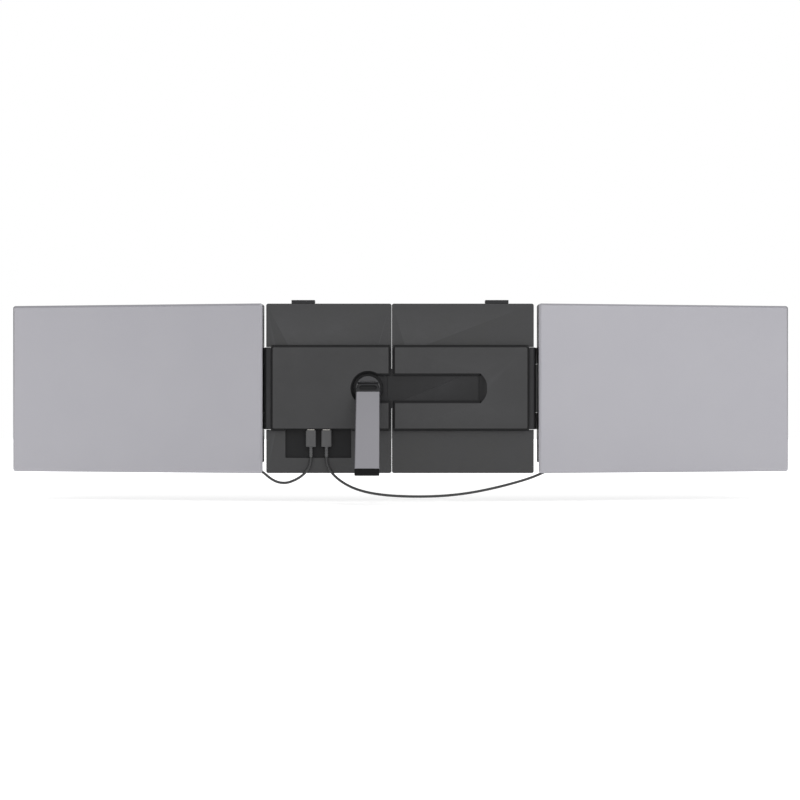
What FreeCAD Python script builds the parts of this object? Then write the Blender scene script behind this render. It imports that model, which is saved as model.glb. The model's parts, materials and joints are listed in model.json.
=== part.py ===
import FreeCAD
import Part
import Sketcher
import math
import os

# Laptop screen extender: two screens hinged to a bracket that slides wider, with a swivelling stand.
# +X runs along the bracket, +Y points at the user, +Z is up. The laptop's lid rests on Y = 0.

SIZES = {
    # Bracket plates
    "PlateReach": 163.2,
    "PlateDrop": 0.1,
    "PlateThick": 6.0,
    "PlateCorner": 2.5,
    "SplitAt": -10.1,
    "SplitGap": 0.4,
    "PadThick": 1.0,
    "PadHeight": 14.0,
    "PadSpacing": 80.0,
    "PadInset": 3.0,
    "PadOuter": 150.0,
    # Rear covers
    "CoverReach": 157.0,
    "CoverTop": 52.0,
    "CoverBottom": 51.0,
    "CoverDepth": 7.0,
    "CoverWall": 2.2,
    "CoverCorner": 4.0,
    "CoverBevel": 2.2,
    "CoverGroove": 3.6,
    "GrooveCorner": 3.0,
    "BottomScoop": 1.0,
    # Stand pocket and the channel that the stand stows in
    "HubX": -38.9,
    "PocketRadius": 18.3,
    "PocketWall": 5.4,
    "PocketFloor": 1.5,
    "ChannelHalf": 15.2,
    "ChannelBevel": 3.0,
    "ChannelEnd": 97.3,
    "ScoopEnd": 106.0,
    # Slide tray and its shoes
    "TrayThick": 2.2,
    "TrayHalf": 24.0,
    "TrayEnd": 96.0,
    "TrayFoot": 5.0,
    "RunGap": 0.3,
    "ShoeStart": 5.0,
    "ShoeLength": 55.0,
    "ShoeThick": 4.0,
    "ShoeLip": 2.2,
    "ShoeLipThick": 0.9,
    # Hinges
    "HingeX": 165.0,
    "LeftAxisY": 0.75,
    "RightAxisY": 7.75,
    "RestTurn": 12.5,
    "BarrelRadius": 3.0,
    "BarrelClear": 0.5,
    "HingePin": 1.5,
    "PinFit": 0.05,
    "ArmHalf": 50.0,
    "StrapHalf": 46.0,
    "ArmStrapThick": 2.5,
    "ArmStrapEnd": 140.0,
    "ArmInner": 158.0,
    "ArmOuterGap": 0.5,
    "ArmDepth": 4.0,
    "ArmRound": 4.5,
    "ArmEarThick": 3.0,
    "KnuckleHalf": 29.6,
    "LeafThick": 2.5,
    "LeafReach": 14.0,
    "LeafWeb": 3.2,
    # Screens
    "LidLength": 325.0,
    "LidHeight": 207.0,
    "LidThick": 13.0,
    "LidCorner": 3.4,
    "BackThick": 3.5,
    "BackBevel": 2.6,
    "BackWall": 1.5,
    "BackRim": 6.0,
    "FrameStep": 0.6,
    "CavityRim": 10.0,
    "ChinHeight": 21.5,
    "GlassThick": 1.4,
    "GlassRim": 4.0,
    "GlassGap": 0.2,
    "PanelThick": 3.0,
    "BoardThick": 1.0,
    "BoardGap": 2.0,
    "VentLength": 29.0,
    "VentHeight": 3.0,
    "VentDeep": 1.2,
    "VentMiddle": 73.5,
    # Cable bay of each screen
    "CableBay": 60.3,
    "CableBayHeight": 13.5,
    "CablePlugRise": 6.7,
    "CablePlugDepth": 4.25,
    # Cable plugs and ports
    "PlugWide": 12.4,
    "PlugThick": 6.5,
    "PlugRound": 1.3,
    "PlugLong": 20.3,
    "ScreenPlugLong": 18.0,
    "TongueWide": 8.3,
    "TongueThick": 2.4,
    "TongueLong": 6.0,
    "ReliefLong": 12.1,
    "ScreenReliefLong": 10.0,
    "ReliefWide": 2.9,
    "ReliefNarrow": 2.0,
    "CableRadius": 1.6,
    "PortWide": 9.2,
    "PortThick": 3.2,
    "PortLong": 7.4,
    "PortPlay": 0.1,
    "LeftPortX": -108.5,
    "RightPortX": -89.6,
    "HubBoardEdge": 11.5,
    "HubBoardHeight": 19.0,
    "BayLeft": -139.4,
    "BayRight": -59.8,
    "BayBottom": -84.4,
    "BayDeep": 2.0,
    "BayTuck": 4.75,
    # Top hooks
    "HookX": 118.2,
    "HookWide": 28.4,
    "HookStrap": 2.0,
    "HookStrapDrop": 31.4,
    "HookSlotDrop": 47.4,
    "HookSlotPlay": 0.2,
    "HookRise": 4.4,
    "HookReach": 9.0,
    "HookLip": 2.0,
    "HookTip": 2.0,
    "HookTipDrop": 1.5,
    "HookPadThick": 0.8,
    "HookRound": 1.4,
    "HookPadInset": 1.0,
    "SpringRadius": 0.9,
    # Stand
    "HubRadius": 15.0,
    "HubBase": 1.5,
    "HubCrown": 0.5,
    "HubRound": 1.25,
    "HubDomeLow": 7.4,
    "HubEarLow": -0.8,
    "SpigotRadius": 5.0,
    "SpigotEnd": 3.0,
    "PivotRise": 4.5,
    "PivotDepth": 1.6,
    "StandPin": 1.1,
    "LegWide": 29.5,
    "LegThick": 3.6,
    "LegLength": 139.4,
    "LegStart": 12.5,
    "LegBevel": 0.9,
    "RootHalf": 12.4,
    "RootShoulder": 6.4,
    "SlotHalf": 10.6,
    "SlotHigh": -2.6,
    "SlotLow": -9.6,
    "SlotDeep": 1.4,
    "SlotCorner": 3.15,
    "FootLong": 8.4,
    "FootThick": 4.4,
    "FootRound": 1.32,
    "RestTilt": 40.0,
    "WasherRadius": 9.0,
    "WasherThick": 1.0,
    "HubScrew": 1.5,
    "HubScrewHead": 3.0,
    # Screws
    "ScrewShank": 1.0,
    "ScrewHead": 1.9,
    "ScrewHeadThick": 1.0,
    "ScrewBite": 3.0,
    "BossRadius": 3.0,
    "CoverScrewOuter": 132.0,
    "CoverScrewInner": 18.0,
    "CoverScrewZ": 43.0,
    "ArmScrewX": 148.0,
    "ArmScrewZ": 20.0,
    "TrayScrewZ": 20.0,
    "LeafScrewX": 9.0,
    "LeafScrewZ": 18.0,
    "LeafScrewLong": 6.25,
    # How far a cut or an overlap runs past the face that it meets
    "Overshoot": 1.0,
}

# The cables' routes, in millimetres, from the bracket's ports to the screens' plugs
LEFT_ROUTE = [
    (-108.5, -9.5, -83.7), (-108.9, -9.5, -91.4), (-112.4, -9.6, -99.4), (-119.0, -9.6, -106.4),
    (-128.2, -9.4, -112.0), (-138.6, -9.0, -115.6), (-149.4, -8.2, -114.6), (-158.6, -7.0, -109.6),
    (-166.4, -5.4, -102.8), (-174.2, -3.1, -98.2), (-184.8, 0.0, -96.4), (-196.9, 2.7, -96.8),
]
RIGHT_ROUTE = [
    (-89.6, -9.5, -83.7), (-89.3, -9.5, -91.6), (-85.6, -9.6, -99.8), (-79.0, -9.7, -107.6),
    (-69.0, -9.8, -115.4), (-54.8, -9.8, -122.6), (-36.0, -9.7, -127.8), (-12.0, -9.4, -130.9),
    (16.0, -9.0, -132.0), (47.0, -8.5, -131.6), (79.0, -7.9, -128.6), (110.0, -7.1, -122.8),
    (138.0, -6.2, -115.8), (160.0, -5.3, -109.2), (176.0, -3.2, -102.4), (186.6, 0.1, -98.0),
    (198.4, 2.9, -96.8),
]


# The share of a route's shorter run that the arc at its corner takes
ARC_SHARE = 0.45


class Size:
    """A length with the expression that works it out from the sheet."""

    def __init__(self, number, text=None):
        self.number = float(number)
        self.text = text or repr(self.number)

    def _with(self, other, sign, number):
        """A new value from two, with its text kept."""
        return Size(number, f"({self.text} {sign} {other.text})")

    def __add__(self, other):
        other = as_size(other)
        return self._with(other, "+", self.number + other.number)

    def __sub__(self, other):
        other = as_size(other)
        return self._with(other, "-", self.number - other.number)

    def __mul__(self, other):
        other = as_size(other)
        return self._with(other, "*", self.number * other.number)

    def __truediv__(self, other):
        other = as_size(other)
        return self._with(other, "/", self.number / other.number)

    def __rsub__(self, other):
        return as_size(other) - self

    def __radd__(self, other):
        return as_size(other) + self

    def __rmul__(self, other):
        return as_size(other) * self

    def __neg__(self):
        return Size(-self.number, f"(-1 * {self.text})")


def as_size(value):
    """The value as a Size, where it is a bare number."""
    return value if isinstance(value, Size) else Size(value)


doc = FreeCAD.newDocument("ScreenExtender")
sheet = doc.addObject("Spreadsheet::Sheet", "Sizes")
for row, (alias, number) in enumerate(SIZES.items(), start=1):
    sheet.set(f"A{row}", alias)
    sheet.set(f"B{row}", str(number))
    sheet.setAlias(f"B{row}", alias)
doc.recompute()


class Sheet:
    """Reads a size from the sheet by its alias."""

    def __getattr__(self, alias):
        """A named value of the sheet."""
        return Size(getattr(sheet, alias), "Sizes." + alias)


S = Sheet()
ORIGIN = Size(0)
NODES = []


def bind(thing, prop, size):
    """Ties a property to a named value or a sum of them."""
    thing.setExpression(prop, as_size(size).text)


def place_at(thing, x, y, z):
    """Puts a solid at a point, given by named values."""
    for letter, size in zip("xyz", (x, y, z)):
        bind(thing, f"Placement.Base.{letter}", size)


def node(label, thing):
    """Names a finished sub-part."""
    thing.Label = label
    NODES.append(thing)
    return thing


# Primitives and booleans

def block(x, y, z):
    """A box between the low and high ends given for each axis."""
    box = doc.addObject("Part::Box", "Block")
    for prop, (low, high) in zip(("Length", "Width", "Height"), (x, y, z)):
        bind(box, prop, as_size(high) - low)
    place_at(box, x[0], y[0], z[0])
    return box


TURN_TO = {
    "x": FreeCAD.Rotation(FreeCAD.Vector(0, 1, 0), 90),
    "y": FreeCAD.Rotation(FreeCAD.Vector(1, 0, 0), -90),
    "z": FreeCAD.Rotation(),
}


def along(thing, axis, centre, low):
    """Stands a round thing on its axis, with the centre given on the two other axes."""
    thing.Placement = FreeCAD.Placement(FreeCAD.Vector(), TURN_TO[axis])
    place = list(centre)
    place.insert("xyz".index(axis), low)
    place_at(thing, *place)
    return thing


def rod(axis, centre, low, high, radius):
    """A round bar along an axis between two levels."""
    cylinder = doc.addObject("Part::Cylinder", "Rod")
    bind(cylinder, "Radius", radius)
    bind(cylinder, "Height", as_size(high) - low)
    return along(cylinder, axis, centre, low)


def cone(axis, centre, low, high, low_radius, high_radius):
    """A tapered round bar along an axis between two levels."""
    taper = doc.addObject("Part::Cone", "Taper")
    bind(taper, "Radius1", low_radius)
    bind(taper, "Radius2", high_radius)
    bind(taper, "Height", as_size(high) - low)
    return along(taper, axis, centre, low)


def joined(*things):
    """Several solids made one."""
    union = doc.addObject("Part::MultiFuse", "Joined")
    union.Shapes = list(things)
    union.Refine = True
    return union


def group(*things):
    """Separate solids that share a node."""
    together = doc.addObject("Part::Compound", "Group")
    together.Links = list(things)
    return together


def less(base, *tools):
    """A solid with others taken out of it."""
    difference = doc.addObject("Part::Cut", "Less")
    difference.Base = base
    difference.Tool = tools[0] if len(tools) == 1 else group(*tools)
    difference.Refine = True
    return difference


def shared(*things):
    """What several solids have in common."""
    common = doc.addObject("Part::MultiCommon", "Shared")
    common.Shapes = list(things)
    return common


def rounded(thing, radius, chosen):
    """Rounds the edges of a boolean result that the test picks."""
    doc.recompute()
    fillet = doc.addObject("Part::Fillet", "Rounded")
    fillet.Base = thing
    size = as_size(radius).number
    edges = [n for n, edge in enumerate(thing.Shape.Edges, start=1) if chosen(edge)]
    fillet.Edges = [(n, size, size) for n in edges]
    return fillet


# Bodies made of pads and pockets

PLANES = {"x": "YZ_Plane", "y": "XZ_Plane", "z": "XY_Plane"}
SAME = 1e-4


def upright(axis):
    """A test for straight edges that run along an axis."""
    place = "xyz".index(axis)

    def test(edge):
        """Whether an edge is one of these."""
        if edge.Curve.TypeId != "Part::GeomLine":
            return False
        start, end = edge.Vertexes[0].Point, edge.Vertexes[-1].Point
        return all(abs(start[n] - end[n]) < SAME for n in range(3) if n != place)

    return test


def at_corner(axis, corners):
    """A test for edges along an axis that stand at one of the corners, given on the other two axes."""
    others = [n for n in range(3) if n != "xyz".index(axis)]
    straight = upright(axis)
    spots = [[as_size(value).number for value in corner] for corner in corners]

    def test(edge):
        """Whether an edge is one of these."""
        if not straight(edge):
            return False
        point = edge.Vertexes[0].Point
        return any(all(abs(point[n] - v) < SAME for n, v in zip(others, spot)) for spot in spots)

    return test


def on_level(axis, level, inside=None):
    """A test for edges that lie flat at a level, and whose middle passes another test."""
    place, height = "xyz".index(axis), as_size(level).number

    def test(edge):
        """Whether an edge is one of these."""
        box = edge.BoundBox
        low, high = (box.XMin, box.YMin, box.ZMin)[place], (box.XMax, box.YMax, box.ZMax)[place]
        if abs(low - height) > SAME or abs(high - height) > SAME:
            return False
        return inside is None or inside(edge.CenterOfMass)

    return test


class Ring:
    """A circle in a sketch."""

    def __init__(self, u, v, radius):
        self.u, self.v, self.radius = as_size(u), as_size(v), as_size(radius)


def rectangle(u, v):
    """The four corners of a rectangle between two pairs of levels."""
    return [(u[0], v[0]), (u[1], v[0]), (u[1], v[1]), (u[0], v[1])]


class Piece:
    """A body that grows by pads and pockets on its own origin planes."""

    def __init__(self, label):
        self.body = node(label, doc.addObject("PartDesign::Body", "Body"))

    def _sketch(self, axis, level, outline):
        """A sketch on a plane square to the axis, with the outline drawn in it."""
        sketch = self.body.newObject("Sketcher::SketchObject", "Outline")
        plane = next(f for f in self.body.Origin.OriginFeatures if f.Role == PLANES[axis])
        sketch.AttachmentSupport = [(plane, "")]
        sketch.MapMode = "FlatFace"
        bind(sketch, "AttachmentOffset.Base.z", -as_size(level) if axis == "y" else level)
        if isinstance(outline, Ring):
            middle = FreeCAD.Vector(outline.u.number, outline.v.number, 0)
            sketch.addGeometry(Part.Circle(middle, FreeCAD.Vector(0, 0, 1), outline.radius.number))
            self._pin(sketch, 0, 3, outline.u, outline.v)
            self._hold(sketch, Sketcher.Constraint("Radius", 0, outline.radius.number), outline.radius)
        else:
            self._polygon(sketch, [(as_size(u), as_size(v)) for u, v in outline])
        return sketch

    def _polygon(self, sketch, corners):
        """Draws straight sides between corners, each corner held by named values."""
        points = [FreeCAD.Vector(u.number, v.number, 0) for u, v in corners]
        for n, point in enumerate(points):
            sketch.addGeometry(Part.LineSegment(point, points[(n + 1) % len(points)]))
        for n in range(len(points)):
            sketch.addConstraint(Sketcher.Constraint("Coincident", n, 2, (n + 1) % len(points), 1))
        for n, (u, v) in enumerate(corners):
            self._pin(sketch, n, 1, u, v)

    def _pin(self, sketch, geometry, end, u, v):
        """Holds one end of a line at named distances from the origin."""
        self._hold(sketch, Sketcher.Constraint("DistanceX", -1, 1, geometry, end, u.number), u)
        self._hold(sketch, Sketcher.Constraint("DistanceY", -1, 1, geometry, end, v.number), v)

    def _hold(self, sketch, constraint, size):
        """Names a constraint and ties it to a value."""
        index = sketch.addConstraint(constraint)
        sketch.setExpression(f"Constraints[{index}]", size.text)

    def add(self, axis, low, high, outline, taper=None):
        """Pads an outline from one level to another along an axis."""
        sketch = self._sketch(axis, high if axis == "y" else low, outline)
        pad = self.body.newObject("PartDesign::Pad", "Pad")
        pad.Profile = sketch
        bind(pad, "Length", as_size(high) - low)
        if taper is not None:
            bind(pad, "TaperAngle", taper)
        return self._grown(pad, True)

    def cut(self, axis, low, high, outline):
        """Pockets an outline from one level to another along an axis."""
        sketch = self._sketch(axis, low if axis == "y" else high, outline)
        pocket = self.body.newObject("PartDesign::Pocket", "Pocket")
        pocket.Profile = sketch
        bind(pocket, "Length", as_size(high) - low)
        return self._grown(pocket, False)

    def _grown(self, feature, more):
        """Takes a feature as the piece's new tip."""
        before = self.body.Shape.Volume if not self.body.Shape.isNull() else 0
        doc.recompute()
        change = self.body.Shape.Volume - before
        if change <= 0 if more else change >= 0:
            raise ValueError(f"{self.body.Label}: {feature.Name} changed the volume by {change:.3f}")
        return feature

    def _dress(self, kind, prop, size, chosen):
        """Rounds or bevels the chosen edges."""
        base = self.body.Tip
        names = [f"Edge{n}" for n, edge in enumerate(base.Shape.Edges, start=1) if chosen(edge)]
        if not names:
            raise ValueError(f"{self.body.Label}: no edge to dress")
        feature = self.body.newObject(kind, "Dressed")
        feature.Base = (base, names)
        bind(feature, prop, size)
        doc.recompute()
        return feature

    def round(self, radius, chosen):
        """Rounds the chosen edges."""
        return self._dress("PartDesign::Fillet", "Radius", radius, chosen)

    def bevel(self, size, chosen):
        """Bevels the chosen edges."""
        return self._dress("PartDesign::Chamfer", "Size", size, chosen)


# Levels that the pieces share

plate_front = -S.PadThick
plate_back = plate_front - S.PlateThick
tray_front = plate_back - S.RunGap
tray_back = tray_front - S.TrayThick
cover_back = plate_back - S.CoverDepth
cover_inner = cover_back + S.CoverWall
pocket_floor = plate_back - S.PocketFloor
left_inner = S.SplitAt - S.SplitGap / 2
right_inner = S.SplitAt + S.SplitGap / 2
cover_left_inner = S.SplitAt - S.CoverGroove / 2
cover_right_inner = S.SplitAt + S.CoverGroove / 2
lid_half = S.LidHeight / 2
plate_half = lid_half - S.PlateDrop
hook_top = plate_half + S.HookRise
strap_low = plate_half - S.HookStrapDrop
slot_low = plate_half - S.HookSlotDrop
tray_start = left_inner - S.TrayFoot
port_y = plate_back - S.PortThick / 2 - S.BoardThick
strap_back = plate_back - S.ArmStrapThick


def side_span(side, near, far):
    """The low and high ends, on X, of a stretch whose ends are given outward from the middle."""
    return (-far, -near) if side < 0 else (near, far)


def place_on_hinge(thing, side):
    """Puts a piece drawn about its hinge onto the hinge, turned in to its resting angle."""
    axis_y = S.LeftAxisY if side < 0 else S.RightAxisY
    spin = FreeCAD.Rotation(FreeCAD.Vector(0, 0, side), sheet.RestTurn)
    thing.Placement = FreeCAD.Placement(FreeCAD.Vector(), spin)
    place_at(thing, S.HingeX * side, axis_y, ORIGIN)


# Bracket

def screw(centre, head_level, tip_level):
    """A flat-headed screw put in from the user's side, with its head below the plate's face."""
    shank = rod("y", centre, tip_level, head_level - S.ScrewHeadThick, S.ScrewShank)
    head = rod("y", centre, head_level - S.ScrewHeadThick, head_level, S.ScrewHead)
    return joined(shank, head)


def cover_screw_spots(side):
    """Where the screws into one cover stand, as x and z."""
    outer = S.CoverScrewOuter * side
    inner = S.SplitAt + S.CoverScrewInner * side
    return [(x, S.CoverScrewZ * up) for x in (outer, inner) for up in (-1, 1)]


def arm_screw_spots(side):
    """Where the screws into one hinge arm stand, as x and z."""
    return [(S.ArmScrewX * side, S.ArmScrewZ * up * times) for up in (-1, 1) for times in (1, 2)]


def tray_screw_spots():
    """Where the screws into the slide tray stand, as x and z."""
    return [(left_inner - S.TrayFoot / 2, S.TrayScrewZ * up) for up in (-1, 1)]


head_level = plate_front - S.PinFit


def screw_holes(piece, spots):
    """Holes right through a plate, with room for the screws' heads on the user's side."""
    for x, z in spots:
        piece.cut("y", plate_back, plate_front, Ring(x, z, S.ScrewShank + S.PinFit))
        seat = head_level - S.ScrewHeadThick
        piece.cut("y", seat, plate_front, Ring(x, z, S.ScrewHead + S.PinFit))


def make_plate(label, side, inner):
    """One half of the bracket: a flat plate with slots for its hook and holes for its screws."""
    piece = Piece(label)
    outer = S.PlateReach * side
    outline = rectangle((outer, inner), (-plate_half, plate_half))
    piece.add("y", plate_back, plate_front, outline)
    piece.round(S.PlateCorner, at_corner("y", outline))
    arm_edge = (S.ArmInner - S.BarrelClear) * side
    arm_room = S.ArmHalf + S.BarrelClear
    piece.cut("y", plate_back, plate_front, rectangle((outer + side, arm_edge), (-arm_room, arm_room)))
    hook_half = S.HookWide / 2 + S.HookSlotPlay
    slot_y = hook_slot_levels()
    hook_x = S.HookX * side
    piece.cut("z", slot_low, plate_half, rectangle((hook_x - hook_half, hook_x + hook_half), slot_y))
    spots = cover_screw_spots(side) + arm_screw_spots(side)
    screw_holes(piece, spots + (tray_screw_spots() if side < 0 else []))
    return piece


def hook_slot_levels():
    """The two levels between which a hook's strap slides inside its plate."""
    middle = (plate_back + plate_front) / 2
    half = S.HookStrap / 2 + S.HookSlotPlay
    return middle - half, middle + half


def make_left_plate():
    """The left plate, with the sunk bay below the ports and the bores that the stand turns in."""
    piece = make_plate("left_plate", -1, left_inner)
    bay_top = -S.CoverBottom + S.BayTuck
    bay = rectangle((S.BayLeft, S.BayRight), (S.BayBottom, bay_top))
    piece.cut("y", plate_back, plate_back + S.BayDeep, bay)
    piece.cut("y", plate_back, plate_front - S.SpigotEnd, Ring(S.HubX, 0, S.SpigotRadius + S.PinFit))
    washer_room = S.WasherRadius + S.BarrelClear
    piece.cut("y", plate_front - S.SpigotEnd, plate_front, Ring(S.HubX, 0, washer_room))


def cover_screw_bosses(piece, side):
    """Adds the round posts that a cover's screws bite into."""
    for x, z in cover_screw_spots(side):
        piece.add("y", cover_inner, plate_back, Ring(x, z, S.BossRadius))
        piece.cut("y", plate_back - S.ScrewBite, plate_back, Ring(x, z, S.ScrewShank + S.PinFit))


def make_cover_shell(label, side, inner):
    """A shallow tray-shaped cover, beveled round its back face and open towards the plate."""
    piece = Piece(label)
    outer = S.CoverReach * side
    outline = rectangle((outer, inner), (-S.CoverBottom, S.CoverTop))
    piece.add("y", cover_back, plate_back, outline)
    piece.round(S.CoverCorner, at_corner("y", [outline[0], outline[3]]))
    piece.round(S.GrooveCorner, at_corner("y", [outline[1], outline[2]]))
    piece.bevel(S.CoverBevel, on_level("y", cover_back))
    hollow_x = (outer - S.CoverWall * side, inner + S.CoverWall * side)
    hollow_z = (-S.CoverBottom + S.CoverWall, S.CoverTop - S.CoverWall)
    piece.cut("y", cover_inner, plate_back, rectangle(hollow_x, hollow_z))
    cover_screw_bosses(piece, side)
    strap_room = S.StrapHalf + S.RunGap
    wall = (outer + S.Overshoot * side, outer - S.CoverWall * side * 2)
    piece.cut("y", strap_back - S.RunGap, plate_back, rectangle(wall, (-strap_room, strap_room)))
    return piece


def make_left_cover():
    """The left cover, with the stand's pocket, the start of its channel and the port windows."""
    piece = make_cover_shell("left_cover", -1, cover_left_inner)
    block_radius = S.PocketRadius + S.PocketWall
    block_end = tray_start - S.RunGap
    channel_wall = S.ChannelHalf + S.PocketWall
    floor_room = rectangle((S.HubX, block_end), (-channel_wall, channel_wall))
    piece.add("y", cover_inner, plate_back, Ring(S.HubX, 0, block_radius))
    tray_room = S.TrayHalf + S.RunGap
    room = rectangle((block_end, cover_left_inner + S.Overshoot), (-tray_room, tray_room))
    piece.cut("y", tray_back, plate_back, room)
    channel_block = rectangle((S.HubX, cover_left_inner), (-channel_wall, channel_wall))
    piece.add("y", cover_inner, tray_back, channel_block)
    piece.add("y", tray_back, plate_back, floor_room)
    piece.cut("y", cover_back, pocket_floor, Ring(S.HubX, 0, S.PocketRadius))
    channel = rectangle((S.HubX, cover_left_inner), (-S.ChannelHalf, S.ChannelHalf))
    piece.cut("y", cover_back, tray_back, channel)
    reach, hub = S.PocketRadius.number, S.HubX.number
    edge_x = cover_left_inner.number
    piece.bevel(S.ChannelBevel, on_level("y", cover_back, lambda middle: (
        abs(middle.z) < reach and hub - reach - SAME < middle.x < edge_x - SAME)))
    piece.cut("y", pocket_floor, plate_back, Ring(S.HubX, 0, S.SpigotRadius + S.PinFit))
    scoop_z = (-S.CoverBottom - S.Overshoot, -S.CoverBottom + S.BottomScoop)
    scoop = rectangle((S.BayLeft, S.BayRight), scoop_z)
    piece.cut("y", cover_back, plate_back, scoop)
    for x in (S.LeftPortX, S.RightPortX):
        half_x = S.PortWide / 2 + S.PortPlay
        half_y = S.PortThick / 2 + S.PortPlay
        window = rectangle((x - half_x, x + half_x), (port_y - half_y, port_y + half_y))
        piece.cut("z", -S.CoverBottom, -S.CoverBottom + S.CoverWall, window)


def make_right_cover():
    """The right cover, with the rest of the stand's channel and its finger scoop."""
    piece = make_cover_shell("right_cover_shell", 1, cover_right_inner)
    NODES.remove(piece.body)
    channel_wall = S.ChannelHalf + S.PocketWall
    skirt = tray_back - S.RunGap
    scoop_wall = S.ScoopEnd + S.PocketWall
    floor_start = S.TrayEnd + S.RunGap
    walls = rectangle((cover_right_inner, scoop_wall), (-channel_wall, channel_wall))
    piece.add("y", cover_inner, skirt, walls)
    piece.add("y", skirt, pocket_floor, rectangle((floor_start, scoop_wall), (-channel_wall, channel_wall)))
    channel = rectangle((cover_right_inner, S.ChannelEnd), (-S.ChannelHalf, S.ChannelHalf))
    piece.cut("y", cover_back, tray_back, channel)
    tray_room = S.TrayHalf + S.RunGap
    mouth = rectangle((cover_right_inner - 1, cover_right_inner + S.CoverWall * 2), (-tray_room, tray_room))
    piece.cut("y", skirt, plate_back, mouth)
    edge_x = cover_right_inner.number
    low_x, high_x, half = edge_x + SAME, S.ChannelEnd.number, S.ChannelHalf.number
    piece.bevel(S.ChannelBevel, on_level("y", cover_back, lambda middle: (
        low_x < middle.x < high_x - SAME and abs(middle.z) < half + SAME)))
    node("right_cover", less(piece.body, scoop()))


def scoop():
    """The finger scoop at the channel's end: a ramp whose upper edge is an arc in the cover's face."""
    wide = S.ChannelHalf + S.ChannelBevel
    ramp = doc.addObject("Part::Wedge", "Ramp")
    spans = {
        "Xmin": S.ChannelEnd, "Xmax": S.ScoopEnd, "Ymin": cover_back, "Ymax": tray_back,
        "X2min": S.ChannelEnd, "X2max": S.ChannelEnd + S.GlassGap,
        "Zmin": -wide, "Zmax": wide, "Z2min": -wide, "Z2max": wide,
    }
    for prop, size in spans.items():
        bind(ramp, prop, size)
    rise = S.ScoopEnd - S.ChannelEnd
    radius = (rise * rise + wide * wide) / (rise * 2)
    return shared(ramp, rod("y", (S.ScoopEnd - radius, ORIGIN), cover_back - 1, tray_back + 1, radius))


def make_tray():
    """The slide tray: a flat tongue fixed to the left plate that guides the right half."""
    piece = Piece("slide_tray")
    outline = rectangle((tray_start, S.TrayEnd), (-S.TrayHalf, S.TrayHalf))
    piece.add("y", tray_back, tray_front, outline)
    piece.round(S.PlateCorner, at_corner("y", [outline[1], outline[2]]))
    foot_end = left_inner - S.RunGap
    piece.add("y", tray_front, plate_back, rectangle((tray_start, foot_end), (-S.TrayHalf, S.TrayHalf)))
    for x, z in tray_screw_spots():
        piece.cut("y", tray_back, plate_back, Ring(x, z, S.ScrewShank + S.PinFit))


def make_shoes():
    """Two rails on the right plate that hold the tray by its long edges."""
    rails = []
    x = (S.ShoeStart, S.ShoeStart + S.ShoeLength)
    lip_front = tray_back - S.RunGap
    lip_back = lip_front - S.ShoeLipThick
    for up in (-1, 1):
        near, far = (S.TrayHalf + S.RunGap) * up, (S.TrayHalf + S.RunGap + S.ShoeThick) * up
        lip = (S.TrayHalf - S.ShoeLip) * up
        web_z, lip_z = ((near, far), (lip, near)) if up > 0 else ((far, near), (near, lip))
        web = block(x, (lip_back, plate_back), web_z)
        rails.append(joined(web, block(x, (lip_back, lip_front), lip_z)))
    node("slide_shoes", group(*rails))


def make_pads(label, x):
    """One plate's rubber strips, which the laptop's lid rests on."""
    strips = []
    for row in (-1, 0, 1):
        middle = S.PadSpacing * row
        strips.append(block(x, (plate_front, ORIGIN), (middle - S.PadHeight / 2, middle + S.PadHeight / 2)))
    straight = upright("y")
    node(label, rounded(group(*strips), S.PlateCorner, straight))


def make_bracket_screws():
    """All the screws of each half of the bracket."""
    tip = plate_back - S.ScrewBite + S.PinFit
    strap_tip = strap_back + S.PinFit
    for label, side in (("left_bracket_screws", -1), ("right_bracket_screws", 1)):
        screws = [screw(spot, head_level, tip) for spot in cover_screw_spots(side)]
        screws += [screw(spot, head_level, strap_tip) for spot in arm_screw_spots(side)]
        if side < 0:
            screws += [screw(spot, head_level, tray_back + S.PinFit) for spot in tray_screw_spots()]
        node(label, group(*screws))


# Hinge arms, pins and leaves

def make_arm(label, side, axis_y):
    """A strap under the cover that turns round the plate's edge and ends in two hinge knuckles."""
    piece = Piece(label)
    outer, axis_x = (S.HingeX - S.ArmOuterGap) * side, S.HingeX * side
    inner, back = S.ArmInner * side, strap_back - S.ArmDepth + S.ArmStrapThick
    shoulder = (S.CoverReach + S.RunGap) * side
    profile = [
        (shoulder, plate_back), (shoulder, back), (outer, back), (outer, ORIGIN), (inner, ORIGIN),
        (inner, plate_back),
    ]
    piece.add("z", -S.ArmHalf, S.ArmHalf, profile)
    piece.round(S.ArmRound, at_corner("z", [(outer, back)]))
    strap = rectangle((S.ArmStrapEnd * side, shoulder), (strap_back, plate_back))
    piece.add("z", -S.StrapHalf, S.StrapHalf, strap)
    split = S.KnuckleHalf + S.RunGap
    clear = S.BarrelRadius + S.BarrelClear
    for low, high in ((split, S.ArmHalf), (-S.ArmHalf, -split)):
        if side > 0:
            ear = rectangle((outer - S.ArmEarThick, outer), (plate_front, axis_y))
            piece.add("z", low, high, ear)
        piece.add("z", low, high, Ring(axis_x, axis_y, S.BarrelRadius))
    if side < 0:
        piece.cut("z", -split, split, Ring(axis_x, axis_y, clear))
    piece.cut("z", -S.ArmHalf, S.ArmHalf, Ring(axis_x, axis_y, S.HingePin + S.PinFit / 2))
    for x, z in arm_screw_spots(side):
        piece.cut("y", strap_back, plate_back, Ring(x, z, S.ScrewShank + S.PinFit))


def make_pin(label, side, axis_y):
    """One hinge pin, through the arm's ears and the leaf's knuckle."""
    node(label, rod("z", (S.HingeX * side, axis_y), -S.ArmHalf, S.ArmHalf, S.HingePin))


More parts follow.
